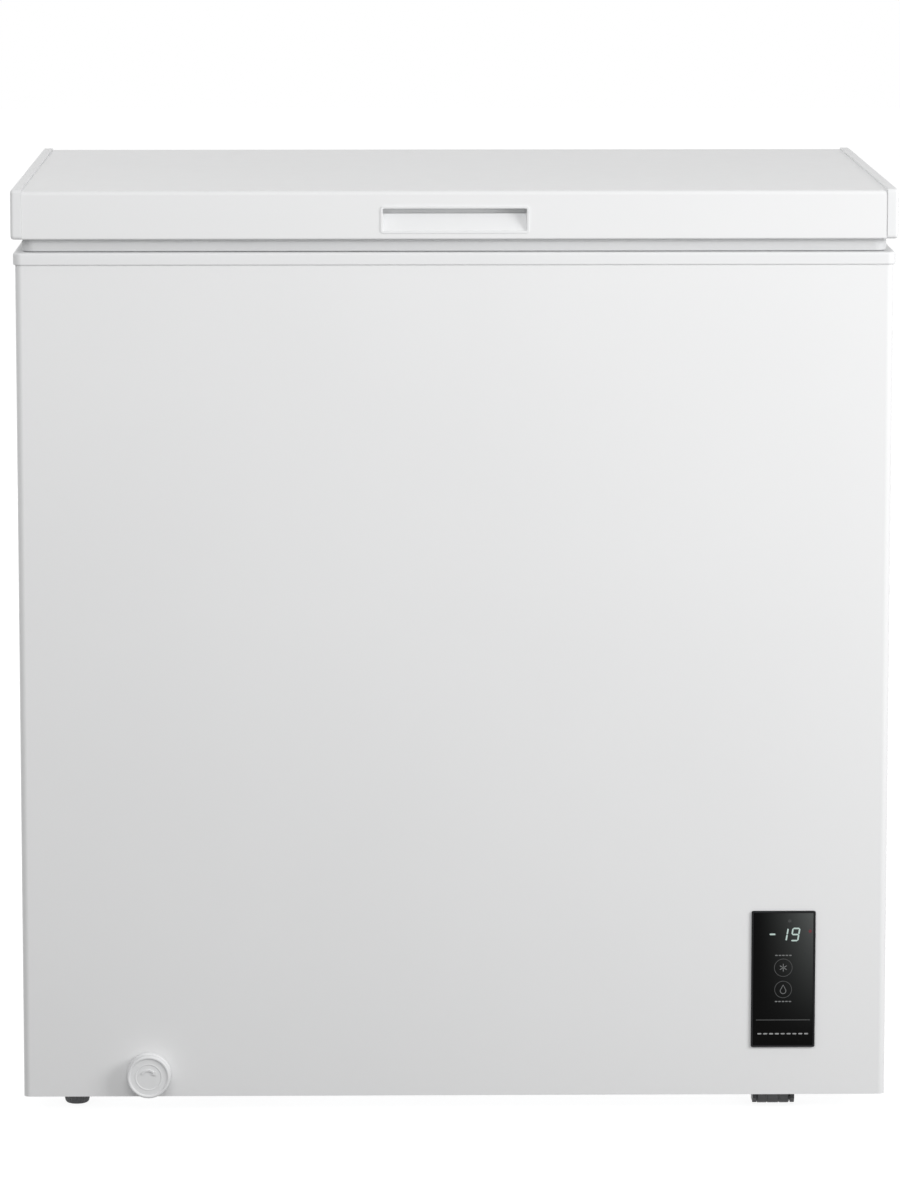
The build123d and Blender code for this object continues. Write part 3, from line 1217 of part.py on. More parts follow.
with BuildPart() as basket_end_grids:
    for grid_y in (BASKET_FRONT + WIRE, BASKET_BACK):
        with BuildSketch(Plane.XZ.offset(-grid_y)):
            with Locations((BASKET_X, BASKET_LOW + BASKET_H / 2)):
                Rectangle(BASKET_W, BASKET_H)
                with GridLocations(GRID_X, GRID_Z, GAPS_X, GAPS_Z):
                    Rectangle(GRID_X - WIRE, GRID_Z - WIRE, mode=Mode.SUBTRACT)
        extrude(amount=WIRE)
basket_end_grids.part.label = "basket_end_grids"
export_step(basket_end_grids.part, "parts/basket_end_grids.step")

with BuildPart() as basket_side_grids:
    for grid_x in (BASKET_X - BASKET_W / 2, BASKET_X + BASKET_W / 2 - WIRE):
        with BuildSketch(Plane.YZ.offset(grid_x)):
            with Locations((BASKET_Y, BASKET_LOW + BASKET_H / 2)):
                Rectangle(BASKET_D - 2 * WIRE, BASKET_H)
                with GridLocations(GRID_Y, GRID_Z, GAPS_Y, GAPS_Z):
                    Rectangle(GRID_Y - WIRE, GRID_Z - WIRE, mode=Mode.SUBTRACT)
        extrude(amount=WIRE)
basket_side_grids.part.label = "basket_side_grids"
export_step(basket_side_grids.part, "parts/basket_side_grids.step")

with BuildPart() as basket_floor_grid:
    with BuildSketch(Plane.XY.offset(BASKET_LOW)):
        with Locations((BASKET_X, BASKET_Y)):
            Rectangle(BASKET_W, BASKET_D)
            with GridLocations(GRID_X, GRID_Y, GAPS_X, GAPS_Y):
                Rectangle(GRID_X - WIRE, GRID_Y - WIRE, mode=Mode.SUBTRACT)
    extrude(amount=-WIRE)
basket_floor_grid.part.label = "basket_floor_grid"
export_step(basket_floor_grid.part, "parts/basket_floor_grid.step")
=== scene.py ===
"""Chest freezer: the dressed model, its studio light and the camera of the photograph.

Pieces are drawn in millimetres and made in metres. The front faces -y, and the floor is z = 0.
"""
import json
import math

import bmesh
import bpy
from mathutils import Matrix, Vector


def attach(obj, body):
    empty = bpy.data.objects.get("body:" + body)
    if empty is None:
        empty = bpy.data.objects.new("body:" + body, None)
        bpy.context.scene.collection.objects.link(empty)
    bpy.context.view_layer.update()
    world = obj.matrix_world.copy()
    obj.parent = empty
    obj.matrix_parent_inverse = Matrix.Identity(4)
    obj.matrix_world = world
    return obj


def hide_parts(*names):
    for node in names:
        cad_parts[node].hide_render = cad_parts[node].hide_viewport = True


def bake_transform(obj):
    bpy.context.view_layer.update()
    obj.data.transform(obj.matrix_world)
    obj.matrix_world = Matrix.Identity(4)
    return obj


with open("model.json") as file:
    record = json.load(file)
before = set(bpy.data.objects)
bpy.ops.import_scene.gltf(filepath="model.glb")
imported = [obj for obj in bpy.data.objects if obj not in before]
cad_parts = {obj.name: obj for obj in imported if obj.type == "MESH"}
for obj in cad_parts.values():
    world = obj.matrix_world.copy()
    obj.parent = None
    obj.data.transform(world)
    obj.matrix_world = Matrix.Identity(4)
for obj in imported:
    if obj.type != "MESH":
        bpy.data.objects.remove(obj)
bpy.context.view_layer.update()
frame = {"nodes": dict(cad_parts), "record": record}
nodes = frame["nodes"]

scene = bpy.context.scene
scene.view_settings.view_transform = "Standard"

# Shader nodes


def link(tree, source, target):
    tree.links.new(source, target)


def feed(tree, target, value):
    """Links a socket to an input, or sets the input to a plain value."""
    if isinstance(value, bpy.types.NodeSocket):
        link(tree, value, target)
    else:
        target.default_value = value


def new_node(tree, kind, **values):
    """A node with some of its inputs fed; an underscore in an input's name stands for a space."""
    node = tree.nodes.new(kind)
    for key, value in values.items():
        feed(tree, node.inputs[key.replace("_", " ")], value)
    return node


def computed(tree, operation, first, second):
    """The result of one step of arithmetic."""
    node = tree.nodes.new("ShaderNodeMath")
    node.operation = operation
    feed(tree, node.inputs[0], first)
    feed(tree, node.inputs[1], second)
    return node.outputs[0]


def tinted(tree, share, first, second):
    """A colour between two others."""
    node = tree.nodes.new("ShaderNodeMix")
    node.data_type = "RGBA"
    feed(tree, node.inputs["Factor"], share)
    feed(tree, node.inputs["A"], first)
    feed(tree, node.inputs["B"], second)
    return node.outputs["Result"]


def mixed(tree, share, first, second):
    """A shader between two others."""
    node = tree.nodes.new("ShaderNodeMixShader")
    for target, value in zip(node.inputs, (share, first, second)):
        feed(tree, target, value)
    return node.outputs[0]


def ranged(tree, signal, low, high):
    """Maps the middle of a 0 to 1 signal on to low and high."""
    node = new_node(tree, "ShaderNodeMapRange", Value=signal, From_Min=0.3, From_Max=0.7,
                    To_Min=low, To_Max=high)
    return node.outputs["Result"]


def cleared(owner):
    """The emptied node tree of a material or a world."""
    owner.use_nodes = True
    owner.node_tree.nodes.clear()
    return owner.node_tree


def principled(mat):
    return next(node for node in mat.node_tree.nodes if node.type == "BSDF_PRINCIPLED")


# Finishes


def surface(name, colour, rough, metal=0.0, tone=0.03, tone_scale=4.0, rough_spread=0.05,
            grain=300.0, grain_kind="noise", grain_depth=0.0002, grain_strength=0.15, specular=0.5):
    """A finish with slow colour drift, uneven gloss and a fine relief."""
    mat = bpy.data.materials.new(name)
    tree = cleared(mat)
    place = tree.nodes.new("ShaderNodeTexCoord").outputs["Object"]
    drift = new_node(tree, "ShaderNodeTexNoise", Vector=place, Scale=tone_scale, Detail=5.0)
    darker = (*[c * (1 - tone) for c in colour], 1)
    paler = (*[min(1, c * (1 + tone)) for c in colour], 1)
    tint = tinted(tree, ranged(tree, drift.outputs["Fac"], 0, 1), darker, paler)
    if grain_kind == "cells":
        relief = new_node(tree, "ShaderNodeTexVoronoi", Vector=place, Scale=grain)
        relief.feature = "SMOOTH_F1"
        height = relief.outputs["Distance"]
    elif grain_kind == "spangle":
        relief = new_node(tree, "ShaderNodeTexVoronoi", Vector=place, Scale=grain)
        height = relief.outputs["Color"]
    else:
        relief = new_node(tree, "ShaderNodeTexNoise", Vector=place, Scale=grain, Detail=3.0)
        height = relief.outputs["Fac"]
    gloss = ranged(tree, height, rough - rough_spread, rough + rough_spread)
    bump = new_node(tree, "ShaderNodeBump", Height=height, Strength=grain_strength, Distance=grain_depth)
    shader = new_node(tree, "ShaderNodeBsdfPrincipled", Base_Color=tint, Roughness=gloss, Metallic=metal,
                      Specular_IOR_Level=specular, Normal=bump.outputs["Normal"])
    new_node(tree, "ShaderNodeOutputMaterial", Surface=shader.outputs["BSDF"])
    return mat


FINISHES = {
    "white_enamel": dict(colour=(0.84, 0.843, 0.846), rough=0.34, tone=0.008, rough_spread=0.03, grain=70,
                         grain_strength=0.012, specular=0.4),
    "zinc_sheet": dict(colour=(0.62, 0.635, 0.65), rough=0.42, metal=0.7, tone_scale=6, rough_spread=0.06,
                       grain=110, grain_kind="spangle", grain_strength=0.02),
    "stucco_liner": dict(colour=(0.80, 0.815, 0.83), rough=0.34, metal=0.25, grain=210, grain_kind="cells",
                         grain_depth=0.0008, grain_strength=0.5),
    "foam": dict(colour=(0.80, 0.71, 0.45), rough=0.9, tone=0.08, tone_scale=40, grain=500),
    "white_plastic": dict(colour=(0.82, 0.825, 0.83), rough=0.36, tone=0.012, grain=900),
    "inner_plastic": dict(colour=(0.83, 0.835, 0.84), rough=0.33, tone=0.015, grain=500),
    "gasket_rubber": dict(colour=(0.64, 0.645, 0.65), rough=0.55, grain=700),
    "hinge_metal": dict(colour=(0.72, 0.725, 0.73), rough=0.40, metal=0.2, grain=350),
    "steel": dict(colour=(0.56, 0.57, 0.58), rough=0.30, metal=1.0, tone=0.06, tone_scale=60, grain=400),
    "slider_plastic": dict(colour=(0.70, 0.70, 0.68), rough=0.42, grain=800),
    "copper": dict(colour=(0.72, 0.38, 0.22), rough=0.32, metal=1.0, tone=0.12, tone_scale=30),
    "compressor_black": dict(colour=(0.025, 0.026, 0.028), rough=0.38, tone=0.2, grain=180),
    "black_rubber": dict(colour=(0.03, 0.03, 0.032), rough=0.62, tone=0.2, tone_scale=40, grain=900),
    "black_plastic": dict(colour=(0.007, 0.007, 0.008), rough=0.42, tone=0.2, grain=900, specular=0.2),
    "black_lens": dict(colour=(0.004, 0.004, 0.004), rough=0.12, tone=0.2, grain=60, grain_strength=0.02,
                       specular=0.02),
    "circuit_green": dict(colour=(0.02, 0.16, 0.06), rough=0.4, tone=0.3, tone_scale=90),
    "grey_plastic": dict(colour=(0.17, 0.172, 0.177), rough=0.45, tone=0.08, grain=800),
    "basket_wire": dict(colour=(0.80, 0.81, 0.815), rough=0.34, tone=0.02, grain=400),
}
finishes = {name: surface(name, **values) for name, values in FINISHES.items()}

# Colour and steepness of the painted reflection on the lens, lighter towards its upper right corner.
LENS_PAINTED_REFLECTION = (0.098, 0.104, 0.102)
PAINTED_REFLECTION_POWER = 1.6


def painted_reflection(mat, colour, power):
    """Paints a reflection into a finish's base colour, lighter from its lower left to its upper right
    corner, where a lens would mirror a lamp.
    """
    tree = mat.node_tree
    base = principled(mat).inputs["Base Color"]
    dark = base.links[0].from_socket
    place = tree.nodes.new("ShaderNodeTexCoord").outputs["Generated"]
    split = new_node(tree, "ShaderNodeSeparateXYZ", Vector=place)
    corner = computed(tree, "MULTIPLY", split.outputs["X"], split.outputs["Z"])
    share = computed(tree, "POWER", corner, power)
    link(tree, tinted(tree, share, dark, (*colour, 1)), base)


# Painted reflection: the black lens's base colour lightens towards its upper right corner.
painted_reflection(finishes["black_lens"], LENS_PAINTED_REFLECTION, PAINTED_REFLECTION_POWER)

slot_of = {part["node"]: part["material_slot"] for part in frame["record"]["subparts"]}
for name, obj in nodes.items():
    obj.data.materials.clear()
    obj.data.materials.append(finishes[slot_of[name]])

# Drawing: points in millimetres, gathered loop by loop

MM = 0.001
LEFT_RIGHT = (-1, 1)


class Shape:
    """Points and the faces between them."""

    def __init__(self):
        self.points = []
        self.faces = []

    def loft(self, loops, start=False, end=False, endless=False, skip=None):
        """Skins a row of loops; endless joins the last loop to the first, skip leaves faces out."""
        first = len(self.points)
        count = len(loops[0])
        for loop in loops:
            self.points += [tuple(p) for p in loop]
        for row in range(len(loops) if endless else len(loops) - 1):
            a = first + row * count
            b = first + (row + 1) % len(loops) * count
            for j in range(count):
                k = (j + 1) % count
                face = (a + j, a + k, b + k, b + j)
                if skip is None or not all(skip(self.points[i]) for i in face):
                    self.faces.append(face)
        last = first + (len(loops) - 1) * count
        if start:
            self.faces.append(tuple(range(first + count - 1, first - 1, -1)))
        if end:
            self.faces.append(tuple(range(last, last + count)))

    def lathe(self, profile, place, axis, sides=48, start=False, end=False, waves=0, depth=0.0):
        """Turns (radius, height) points about an axis; waves and depth cut grips into marked rows."""
        loops = []
        for radius, height, *wavy in profile:
            loop = []
            for i in range(sides):
                angle = 2 * math.pi * i / sides
                r = radius - (depth * (1 + math.cos(waves * angle)) / 2 if wavy else 0)
                u, v = r * math.cos(angle), r * math.sin(angle)
                offset = {"x": (height, u, v), "y": (u, height, v), "z": (u, v, height)}[axis]
                loop.append([p + o for p, o in zip(place, offset)])
            loops.append(loop)
        self.loft(loops, start=start, end=end)

    def wire(self, path, radius, sides=8, closed=False):
        """A round wire along a path."""
        points = [Vector(p) for p in path]
        count = len(points)
        turns = [2 * math.pi * k / sides for k in range(sides)]
        normal = None
        loops = []
        for i, here in enumerate(points):
            before = points[i - 1] if i or closed else here
            after = points[(i + 1) % count] if i + 1 < count or closed else here
            along = (after - before).normalized()
            if normal is None:
                normal = along.orthogonal().normalized()
            normal = (normal - along * normal.dot(along)).normalized()
            side = along.cross(normal)
            loops.append([here + radius * (normal * math.cos(t) + side * math.sin(t)) for t in turns])
        self.loft(loops, start=not closed, end=not closed, endless=closed)


def rounded(width, depth, radius, centre=(0, 0), steps=6, back=None):
    """Outline of a rounded rectangle; back sets another radius for the upper corners."""
    outline = []
    for quarter, (sx, sy) in enumerate(((1, 1), (-1, 1), (-1, -1), (1, -1))):
        r = radius if back is None or sy < 0 else back
        for i in range(steps + 1):
            angle = math.pi / 2 * (quarter + i / steps)
            outline.append((centre[0] + sx * (width / 2 - r) + r * math.cos(angle),
                            centre[1] + sy * (depth / 2 - r) + r * math.sin(angle)))
    return outline


def between(value, low, high):
    return min(max(value, low), high)


def level(outline, z):
    return [(x, y, z) for x, y in outline]


def upright(outline, y):
    return [(x, y, z) for x, z in outline]


def arc(centre, radius, start, stop, steps):
    """Points of an arc, angles in degrees."""
    angles = [math.radians(start + (stop - start) * i / steps) for i in range(steps + 1)]
    return [(centre[0] + radius * math.cos(a), centre[1] + radius * math.sin(a)) for a in angles]


def bent(corners, radius, steps=5):
    """A wire's path: straight runs with a round bend at each corner."""
    corners = [Vector(c) for c in corners]
    path = [corners[0]]
    for before, here, after in zip(corners, corners[1:], corners[2:]):
        a = (before - here).normalized()
        b = (after - here).normalized()
        half = a.angle(b) / 2
        reach = radius / math.tan(half)
        middle = here + (a + b).normalized() * radius / math.sin(half)
        p, q = here + a * reach - middle, here + b * reach - middle
        turn = p.rotation_difference(q)
        for i in range(steps + 1):
            spin = turn.copy()
            spin.identity()
            path.append(middle + spin.slerp(turn, i / steps) @ p)
    return path + [corners[-1]]


def put(shape, name, body, slot, *replaced, finish=None):
    """Makes the piece in metres, rides it on its body and hides the solids it stands for."""
    mesh = bpy.data.meshes.new(name)
    mesh.from_pydata([[c * MM for c in p] for p in shape.points], [], shape.faces)
    work = bmesh.new()
    work.from_mesh(mesh)
    bmesh.ops.remove_doubles(work, verts=work.verts, dist=1e-6)
    bmesh.ops.dissolve_degenerate(work, edges=work.edges, dist=1e-7)
    bmesh.ops.recalc_face_normals(work, faces=work.faces)
    work.to_mesh(mesh)
    work.free()
    mesh.shade_smooth()
    mesh.set_sharp_from_angle(angle=math.radians(35))
    mesh.materials.append(finish or finishes[slot])
    obj = bpy.data.objects.new(name, mesh)
    scene.collection.objects.link(obj)
    normals = obj.modifiers.new("normals", "WEIGHTED_NORMAL")
    normals.keep_sharp = True
    if body:
        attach(obj, body)
    if replaced:
        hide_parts(*replaced)


# Sizes and places of the solids that the pieces follow

BACK = 248
SIDE_X = 397.5
HINGE_XS = (-250, 250)
LEAST_R = 0.8

LID_W, LID_D, LID_Y = 802, 519, -10
LID_LOW, LID_TOP = 810, 854
LID_FRONT = LID_Y - LID_D / 2
LID_BACK = LID_Y + LID_D / 2
LID_SHEET, LID_ROUND, LID_FOLD, LID_HEM = 0.8, 4, 1.5, 14

END_W, END_ROUND, END_CORNER, END_GAP = 10, 3, 3.5, 0.1
END_FRONT, END_TOP = LID_FRONT - 0.8, LID_TOP + 1.5
END_INSIDE = LID_W / 2 - END_W

CUP_W, CUP_LOW, CUP_HIGH = 130, 817.7, 837.7
CUP_SLOPE, CUP_SLOT, CUP_DEEP, CUP_CORNER = 9, 5, 18, 1.2
CUP_H, CUP_MID = CUP_HIGH - CUP_LOW, (CUP_LOW + CUP_HIGH) / 2

RIM_W, RIM_FRONT, RIM_R, RIM_BACK_R = 799, -268, 8, 0.4
RIM_LOW, RIM_TOP = 786.5, 798
RIM_D, RIM_Y = BACK - RIM_FRONT, (BACK + RIM_FRONT) / 2
DECK_LOW = RIM_TOP - 2.6
MOUTH_W, MOUTH_D, MOUTH_R, MOUTH_Y = 684.4, 403.4, 13.6, -9

GASKET_W, GASKET_D, GASKET_R, GASKET_T = 784, 501, 12, 14
GASKET_LOW = RIM_TOP + 0.3

DRAIN_X, DRAIN_Z = -282, 38
DIAL_FRONT = -280

# Lid: a sheet bent over the front and back edges and folded in below, open where the handle cup sits

CUP_ROOM, TOUCH = 1.6, 0.01
WINDOW_X = CUP_W / 2 + CUP_ROOM
WINDOW_LOW, WINDOW_HIGH = CUP_LOW - CUP_ROOM, CUP_HIGH + CUP_ROOM


def lid_path(inset):
    """Outline of the bent sheet in y and z, from the front hem over the top to the back hem."""
    fold, roll = LID_FOLD - inset, LID_ROUND - inset
    low, high = LID_LOW + LID_FOLD, LID_TOP - LID_ROUND
    path = [(LID_FRONT + LID_HEM, LID_LOW + inset)]
    path += arc((LID_FRONT + LID_FOLD, low), fold, 270, 180, 4)
    path += [(LID_FRONT + inset, WINDOW_LOW), (LID_FRONT + inset, WINDOW_HIGH)]
    path += arc((LID_FRONT + LID_ROUND, high), roll, 180, 90, 8)
    path += arc((LID_BACK - LID_ROUND, high), roll, 90, 0, 8)
    path += arc((LID_BACK - LID_FOLD, low), fold, 0, -90, 4)
    return path + [(LID_BACK - LID_HEM, LID_LOW + inset)]


def in_window(point):
    """Whether a point of the front lies in the opening for the handle cup."""
    x, y, z = point
    across = abs(x) < WINDOW_X + TOUCH
    return y < LID_FRONT + LID_FOLD and across and WINDOW_LOW - TOUCH < z < WINDOW_HIGH + TOUCH


sheet = lid_path(0) + lid_path(LID_SHEET)[::-1]
sheet_end = END_INSIDE - END_GAP
lid = Shape()
lid.loft([[(x, y, z) for y, z in sheet] for x in (-sheet_end, -WINDOW_X, WINDOW_X, sheet_end)],
         start=True, end=True, skip=in_window)
put(lid, "lid_sheet", "lid", "white_enamel", "lid_skin")

# End caps: mouldings a little proud of the sheet, rounded outside, with a ledge for the inner panel

END_MIDDLE = ((END_FRONT + LID_BACK) / 2, (LID_LOW + END_TOP) / 2)
LEDGE_GAP, LEDGE_R = 0.4, 0.5
inner_edge = [(0, 0.4), (0.12, 0.12), (0.4, 0)]
outer_edge = arc((END_W - END_ROUND, END_ROUND), END_ROUND, -90, 0, 8)
ends = Shape()
for side in LEFT_RIGHT:
    end_loops = []
    for out, inset in inner_edge + outer_edge:
        face = rounded(LID_BACK - END_FRONT - 2 * inset, END_TOP - LID_LOW - 2 * inset,
                       max(END_CORNER - inset, LEDGE_R), END_MIDDLE)
        end_loops.append([(side * (END_INSIDE + out), y, z) for y, z in face])
    ends.loft(end_loops, start=True, end=True)
    ledge = rounded(LID_HEM, LID_D - 2 * LID_HEM - LEDGE_GAP, LEDGE_R,
                    (side * (END_INSIDE - LID_HEM / 2), LID_Y), 2)
    ends.loft([level(ledge, LID_LOW), level(ledge, LID_LOW + LID_SHEET)], start=True, end=True)
put(ends, "lid_ends", "lid", "white_plastic", "lid_end_caps")

# Handle cup: a thin frame on the lid's front, a floor that slopes up, and a finger slot behind it

CUP_STEPS, SLOPE_ROWS, SLOPE_START = 5, 5, 1
cup_frame = [(2.4, 0.2), (2.4, -0.5), (2.1, -0.8), (0.7, -0.8), (0.2, -0.6), (0, -0.1)]
cup_rows = []
for k in range(SLOPE_ROWS + 1):
    share = k / SLOPE_ROWS
    cup_rows.append((SLOPE_START + (CUP_SLOPE - SLOPE_START) * share, CUP_H + (CUP_SLOT - CUP_H) * share))
cup_rows += [(CUP_DEEP - 0.6, CUP_SLOT), (CUP_DEEP, CUP_SLOT - 1.2)]
cup_loops = []
for grow, ahead in cup_frame:
    outline = rounded(CUP_W + 2 * grow, CUP_H + 2 * grow, CUP_CORNER + grow * 0.7, (0, CUP_MID), CUP_STEPS)
    cup_loops.append(upright(outline, LID_FRONT + ahead))
for deep, height in cup_rows:
    outline = rounded(CUP_W, height, min(CUP_CORNER, height * 0.4), (0, CUP_HIGH - height / 2), CUP_STEPS)
    cup_loops.append(upright(outline, LID_FRONT + deep))
cup = Shape()
cup.loft(cup_loops, end=True)
put(cup, "handle_cup", "lid", "white_plastic", "lid_handle")

# Gasket: a bellows with a shallow fold outside, a hollow waist inside and a rounded foot

FOLD_DEEP, WAIST_DEEP = 0.5, 3.5
fold_rows = [(0, 0), (0, 1.4), (FOLD_DEEP, 1.9), (FOLD_DEEP, 2.5), (0, 3)]
foot_rows = [(0, 1.9), (0.4, 0.6), (1.5, 0), (GASKET_T - 1.5, 0), (GASKET_T - 0.4, 0.6), (GASKET_T, 1.9)]
waist_rows = [(GASKET_T, 7), (GASKET_T - WAIST_DEEP, 5.4), (GASKET_T - WAIST_DEEP, 3.8), (GASKET_T, 2.4),
              (GASKET_T, 0)]
gasket_rows = [(inset, LID_LOW - down) for inset, down in fold_rows]
gasket_rows += [(inset, GASKET_LOW + up) for inset, up in foot_rows]
gasket_rows += [(inset, LID_LOW - down) for inset, down in waist_rows]
gasket_loops = []
for inset, z in gasket_rows:
    corner = max(GASKET_R - inset, LEAST_R)
    outline = rounded(GASKET_W - 2 * inset, GASKET_D - 2 * inset, corner, (0, LID_Y))
    gasket_loops.append(level(outline, z))
gasket = Shape()
gasket.loft(gasket_loops, endless=True)
put(gasket, "gasket_bellows", "lid", "gasket_rubber", "lid_gasket")

# Top frame: skirt with rounded edges, deck, and a lip down into the tub's mouth

SKIRT_T, SKIRT_FOOT_R, SKIRT_TOP_R = 1.9, 1.3, 2.4
LIP_LOW, LIP_T, LIP_R, LIP_EDGE = 783, 2.4, 1.4, 0.6
FLUSH = 0.05
skirt = [(SKIRT_T, DECK_LOW), (SKIRT_T, RIM_LOW)]
skirt += [(SKIRT_FOOT_R - u, RIM_LOW + SKIRT_FOOT_R - v) for u, v in arc((0, 0), SKIRT_FOOT_R, 90, 0, 4)]
skirt += [(SKIRT_TOP_R - u, RIM_TOP - SKIRT_TOP_R + v) for u, v in arc((0, 0), SKIRT_TOP_R, 0, 90, 6)]
mouth = [(u - LIP_R, RIM_TOP - LIP_R + v) for u, v in arc((0, 0), LIP_R, 90, 0, 4)]
mouth += [(0, LIP_LOW + LIP_EDGE), (-LIP_EDGE, LIP_LOW), (-LIP_T, LIP_LOW), (-LIP_T, DECK_LOW)]
rim_loops = []
for inset, z in skirt:
    outline = rounded(RIM_W - 2 * inset, RIM_D - inset, max(RIM_R - inset, LEAST_R),
                      (0, RIM_Y + inset / 2), back=RIM_BACK_R)
    # behind, only the deck's edge shows, flush with the back panel
    rim_loops.append([(x, y, max(z, DECK_LOW) if y > BACK - FLUSH else z) for x, y in outline])
for inset, z in mouth:
    outline = rounded(MOUTH_W - 2 * inset, MOUTH_D - 2 * inset, MOUTH_R - inset, (0, MOUTH_Y))
    rim_loops.append(level(outline, z))
rim = Shape()
rim.loft(rim_loops, endless=True)
put(rim, "collar", "cabinet", "white_plastic", "top_frame")

# Drain dial: a stepped knob with a sunk face, in radius and depth behind its front, and a turning arrow

dial_flange = [(9, 13.4), (19.7, 13.4), (20.5, 12.7), (20.5, 11.2), (20.1, 10.6)]
dial_groove = [(19.4, 10), (19.4, 9), (19.9, 8)]
dial_edge = [(19.8, 1.8), (19.6, 0.8), (19.1, 0.2), (18.4, 0), (17.7, 0.1), (17.2, 0.5), (16.9, 1)]
dial_face = [(16.4, 1.2), (12.9, 1.3), (12.5, 1.1), (12, 1), (11.5, 1.1), (11.1, 1.4)]
dial = Shape()
dial.lathe(dial_flange + dial_groove + dial_edge + dial_face, (DRAIN_X, DIAL_FRONT, DRAIN_Z), "y", 72,
           start=True, end=True)
put(dial, "dial_knob", "drain_dial", "white_plastic", "drain_dial")

ARROW_R, ARROW_HALF, ARROW_FROM, ARROW_TO = 6.4, 0.75, 40, 155
HEAD_LONG, HEAD_HALF = 3.2, 2.2
ARROW_LOW, ARROW_HIGH = DIAL_FRONT + 1.5, DIAL_FRONT + 0.3
ARROW_IN, ARROW_OUT = ARROW_R - ARROW_HALF, ARROW_R + ARROW_HALF
arrow_corners = ((ARROW_IN, ARROW_LOW), (ARROW_IN, ARROW_HIGH),
                 (ARROW_OUT, ARROW_HIGH), (ARROW_OUT, ARROW_LOW))
band = []
for radius, y in arrow_corners:
    band.append(upright(arc((DRAIN_X, DRAIN_Z), radius, ARROW_FROM, ARROW_TO, 20), y))
outward, forward = math.radians(ARROW_FROM), math.radians(ARROW_FROM - 90)
head = [(DRAIN_X + (ARROW_R + across) * math.cos(outward) + along * math.cos(forward),
         DRAIN_Z + (ARROW_R + across) * math.sin(outward) + along * math.sin(forward))
        for along, across in ((0, -HEAD_HALF), (HEAD_LONG, 0), (0, HEAD_HALF))]
arrow = Shape()
arrow.loft([list(row) for row in zip(*band)], start=True, end=True)
arrow.loft([upright(head, ARROW_LOW), upright(head, ARROW_HIGH)], start=True, end=True)
put(arrow, "dial_arrow", "drain_dial", "white_plastic")

# Drain seal: a rubber ring with rounded edges behind the spout's inner end

SEAL_NEAR, SEAL_FAR, SEAL_BORE, SEAL_R = -203.5, -200, 7, 9.9
SEAL_IN, SEAL_OUT = 0.5, 0.8
seal_profile = [
    (SEAL_BORE, SEAL_NEAR + SEAL_IN), (SEAL_BORE + SEAL_IN, SEAL_NEAR),
    (SEAL_R - SEAL_OUT, SEAL_NEAR), (SEAL_R, SEAL_NEAR + SEAL_OUT),
    (SEAL_R, SEAL_FAR - SEAL_OUT), (SEAL_R - SEAL_OUT, SEAL_FAR),
    (SEAL_BORE + SEAL_IN, SEAL_FAR), (SEAL_BORE, SEAL_FAR - SEAL_IN),
]
seal = Shape()
seal.lathe([*seal_profile, seal_profile[0]], (DRAIN_X, 0, DRAIN_Z), "y")
put(seal, "seal_ring", "drain_slide", "gasket_rubber", "drain_seal")

# Drain stopper: a plug under a dished cap, with a pull tab, in radius and height above the drain's flange

STOPPER = (DRAIN_X, -185, 70.5)
PLUG_R, PLUG_LOW, CAP_R, CAP_T = 7.9, -9, 13, 3
TAB_W, TAB_T, TAB_H = 14, 3, 8
plug_rows = [(PLUG_R - 1.4, PLUG_LOW), (PLUG_R - 0.6, PLUG_LOW + 0.4), (PLUG_R, PLUG_LOW + 1.6), (PLUG_R, 0)]
cap_rows = [(CAP_R - 0.4, 0), (CAP_R, 0.4), (CAP_R, CAP_T - 1), (CAP_R - 0.3, CAP_T - 0.3),
            (CAP_R - 1, CAP_T), (CAP_R - 2, CAP_T - 0.1), (CAP_R - 2.8, CAP_T - 0.8)]
tab_rows = [(0, CAP_T - 1), (0, CAP_T + TAB_H - 3), (0.4, CAP_T + TAB_H - 1), (1.2, CAP_T + TAB_H)]
tab_loops = []
for inset, up in tab_rows:
    thick = TAB_T - inset
    tab_loops.append(level(rounded(TAB_W - 2 * inset, thick, thick * 0.45, STOPPER[:2], 5), STOPPER[2] + up))
stopper = Shape()
stopper.lathe(plug_rows + cap_rows, STOPPER, "z", 64, start=True, end=True)
stopper.loft(tab_loops, start=True, end=True)
put(stopper, "stopper_plug", "drain_stopper", "gasket_rubber", "drain_stopper")

# Levelling feet: a tapered, ribbed pad on a threaded stud

FOOT_X = -351
FOOT_YS = {"front": -216, "rear": 200}
RIBS, RIB_DEEP = 24, 0.8
STUD_R, THREAD_DEEP, THREAD_LOW, THREAD_STEP, THREAD_ROWS = 4, 0.45, 10.6, 0.625, 34
pad_rows = [(9, 0), (9.8, 0.3), (10.4, 0.9), (11, 1.6, "ribbed"), (12.2, 6.8, "ribbed"),
            (12.6, 7.4), (12.6, 9.4), (12.2, 9.9), (11.6, 10), (5.4, 10), (5.2, 10.4)]
thread_rows = [(STUD_R - THREAD_DEEP * (k % 2), THREAD_LOW + THREAD_STEP * k) for k in range(THREAD_ROWS)]
for name, y in FOOT_YS.items():
    foot = Shape()
    foot.lathe(pad_rows + thread_rows, (FOOT_X, y, 0), "z", 96, start=True, end=True,
               waves=RIBS, depth=RIB_DEEP)
    put(foot, f"foot_pad_{name}", f"foot_{name}", slot_of[f"foot_{name}"], f"foot_{name}")

# Rollers: grooved tyres with a hub step at each end, in radius and distance from the middle

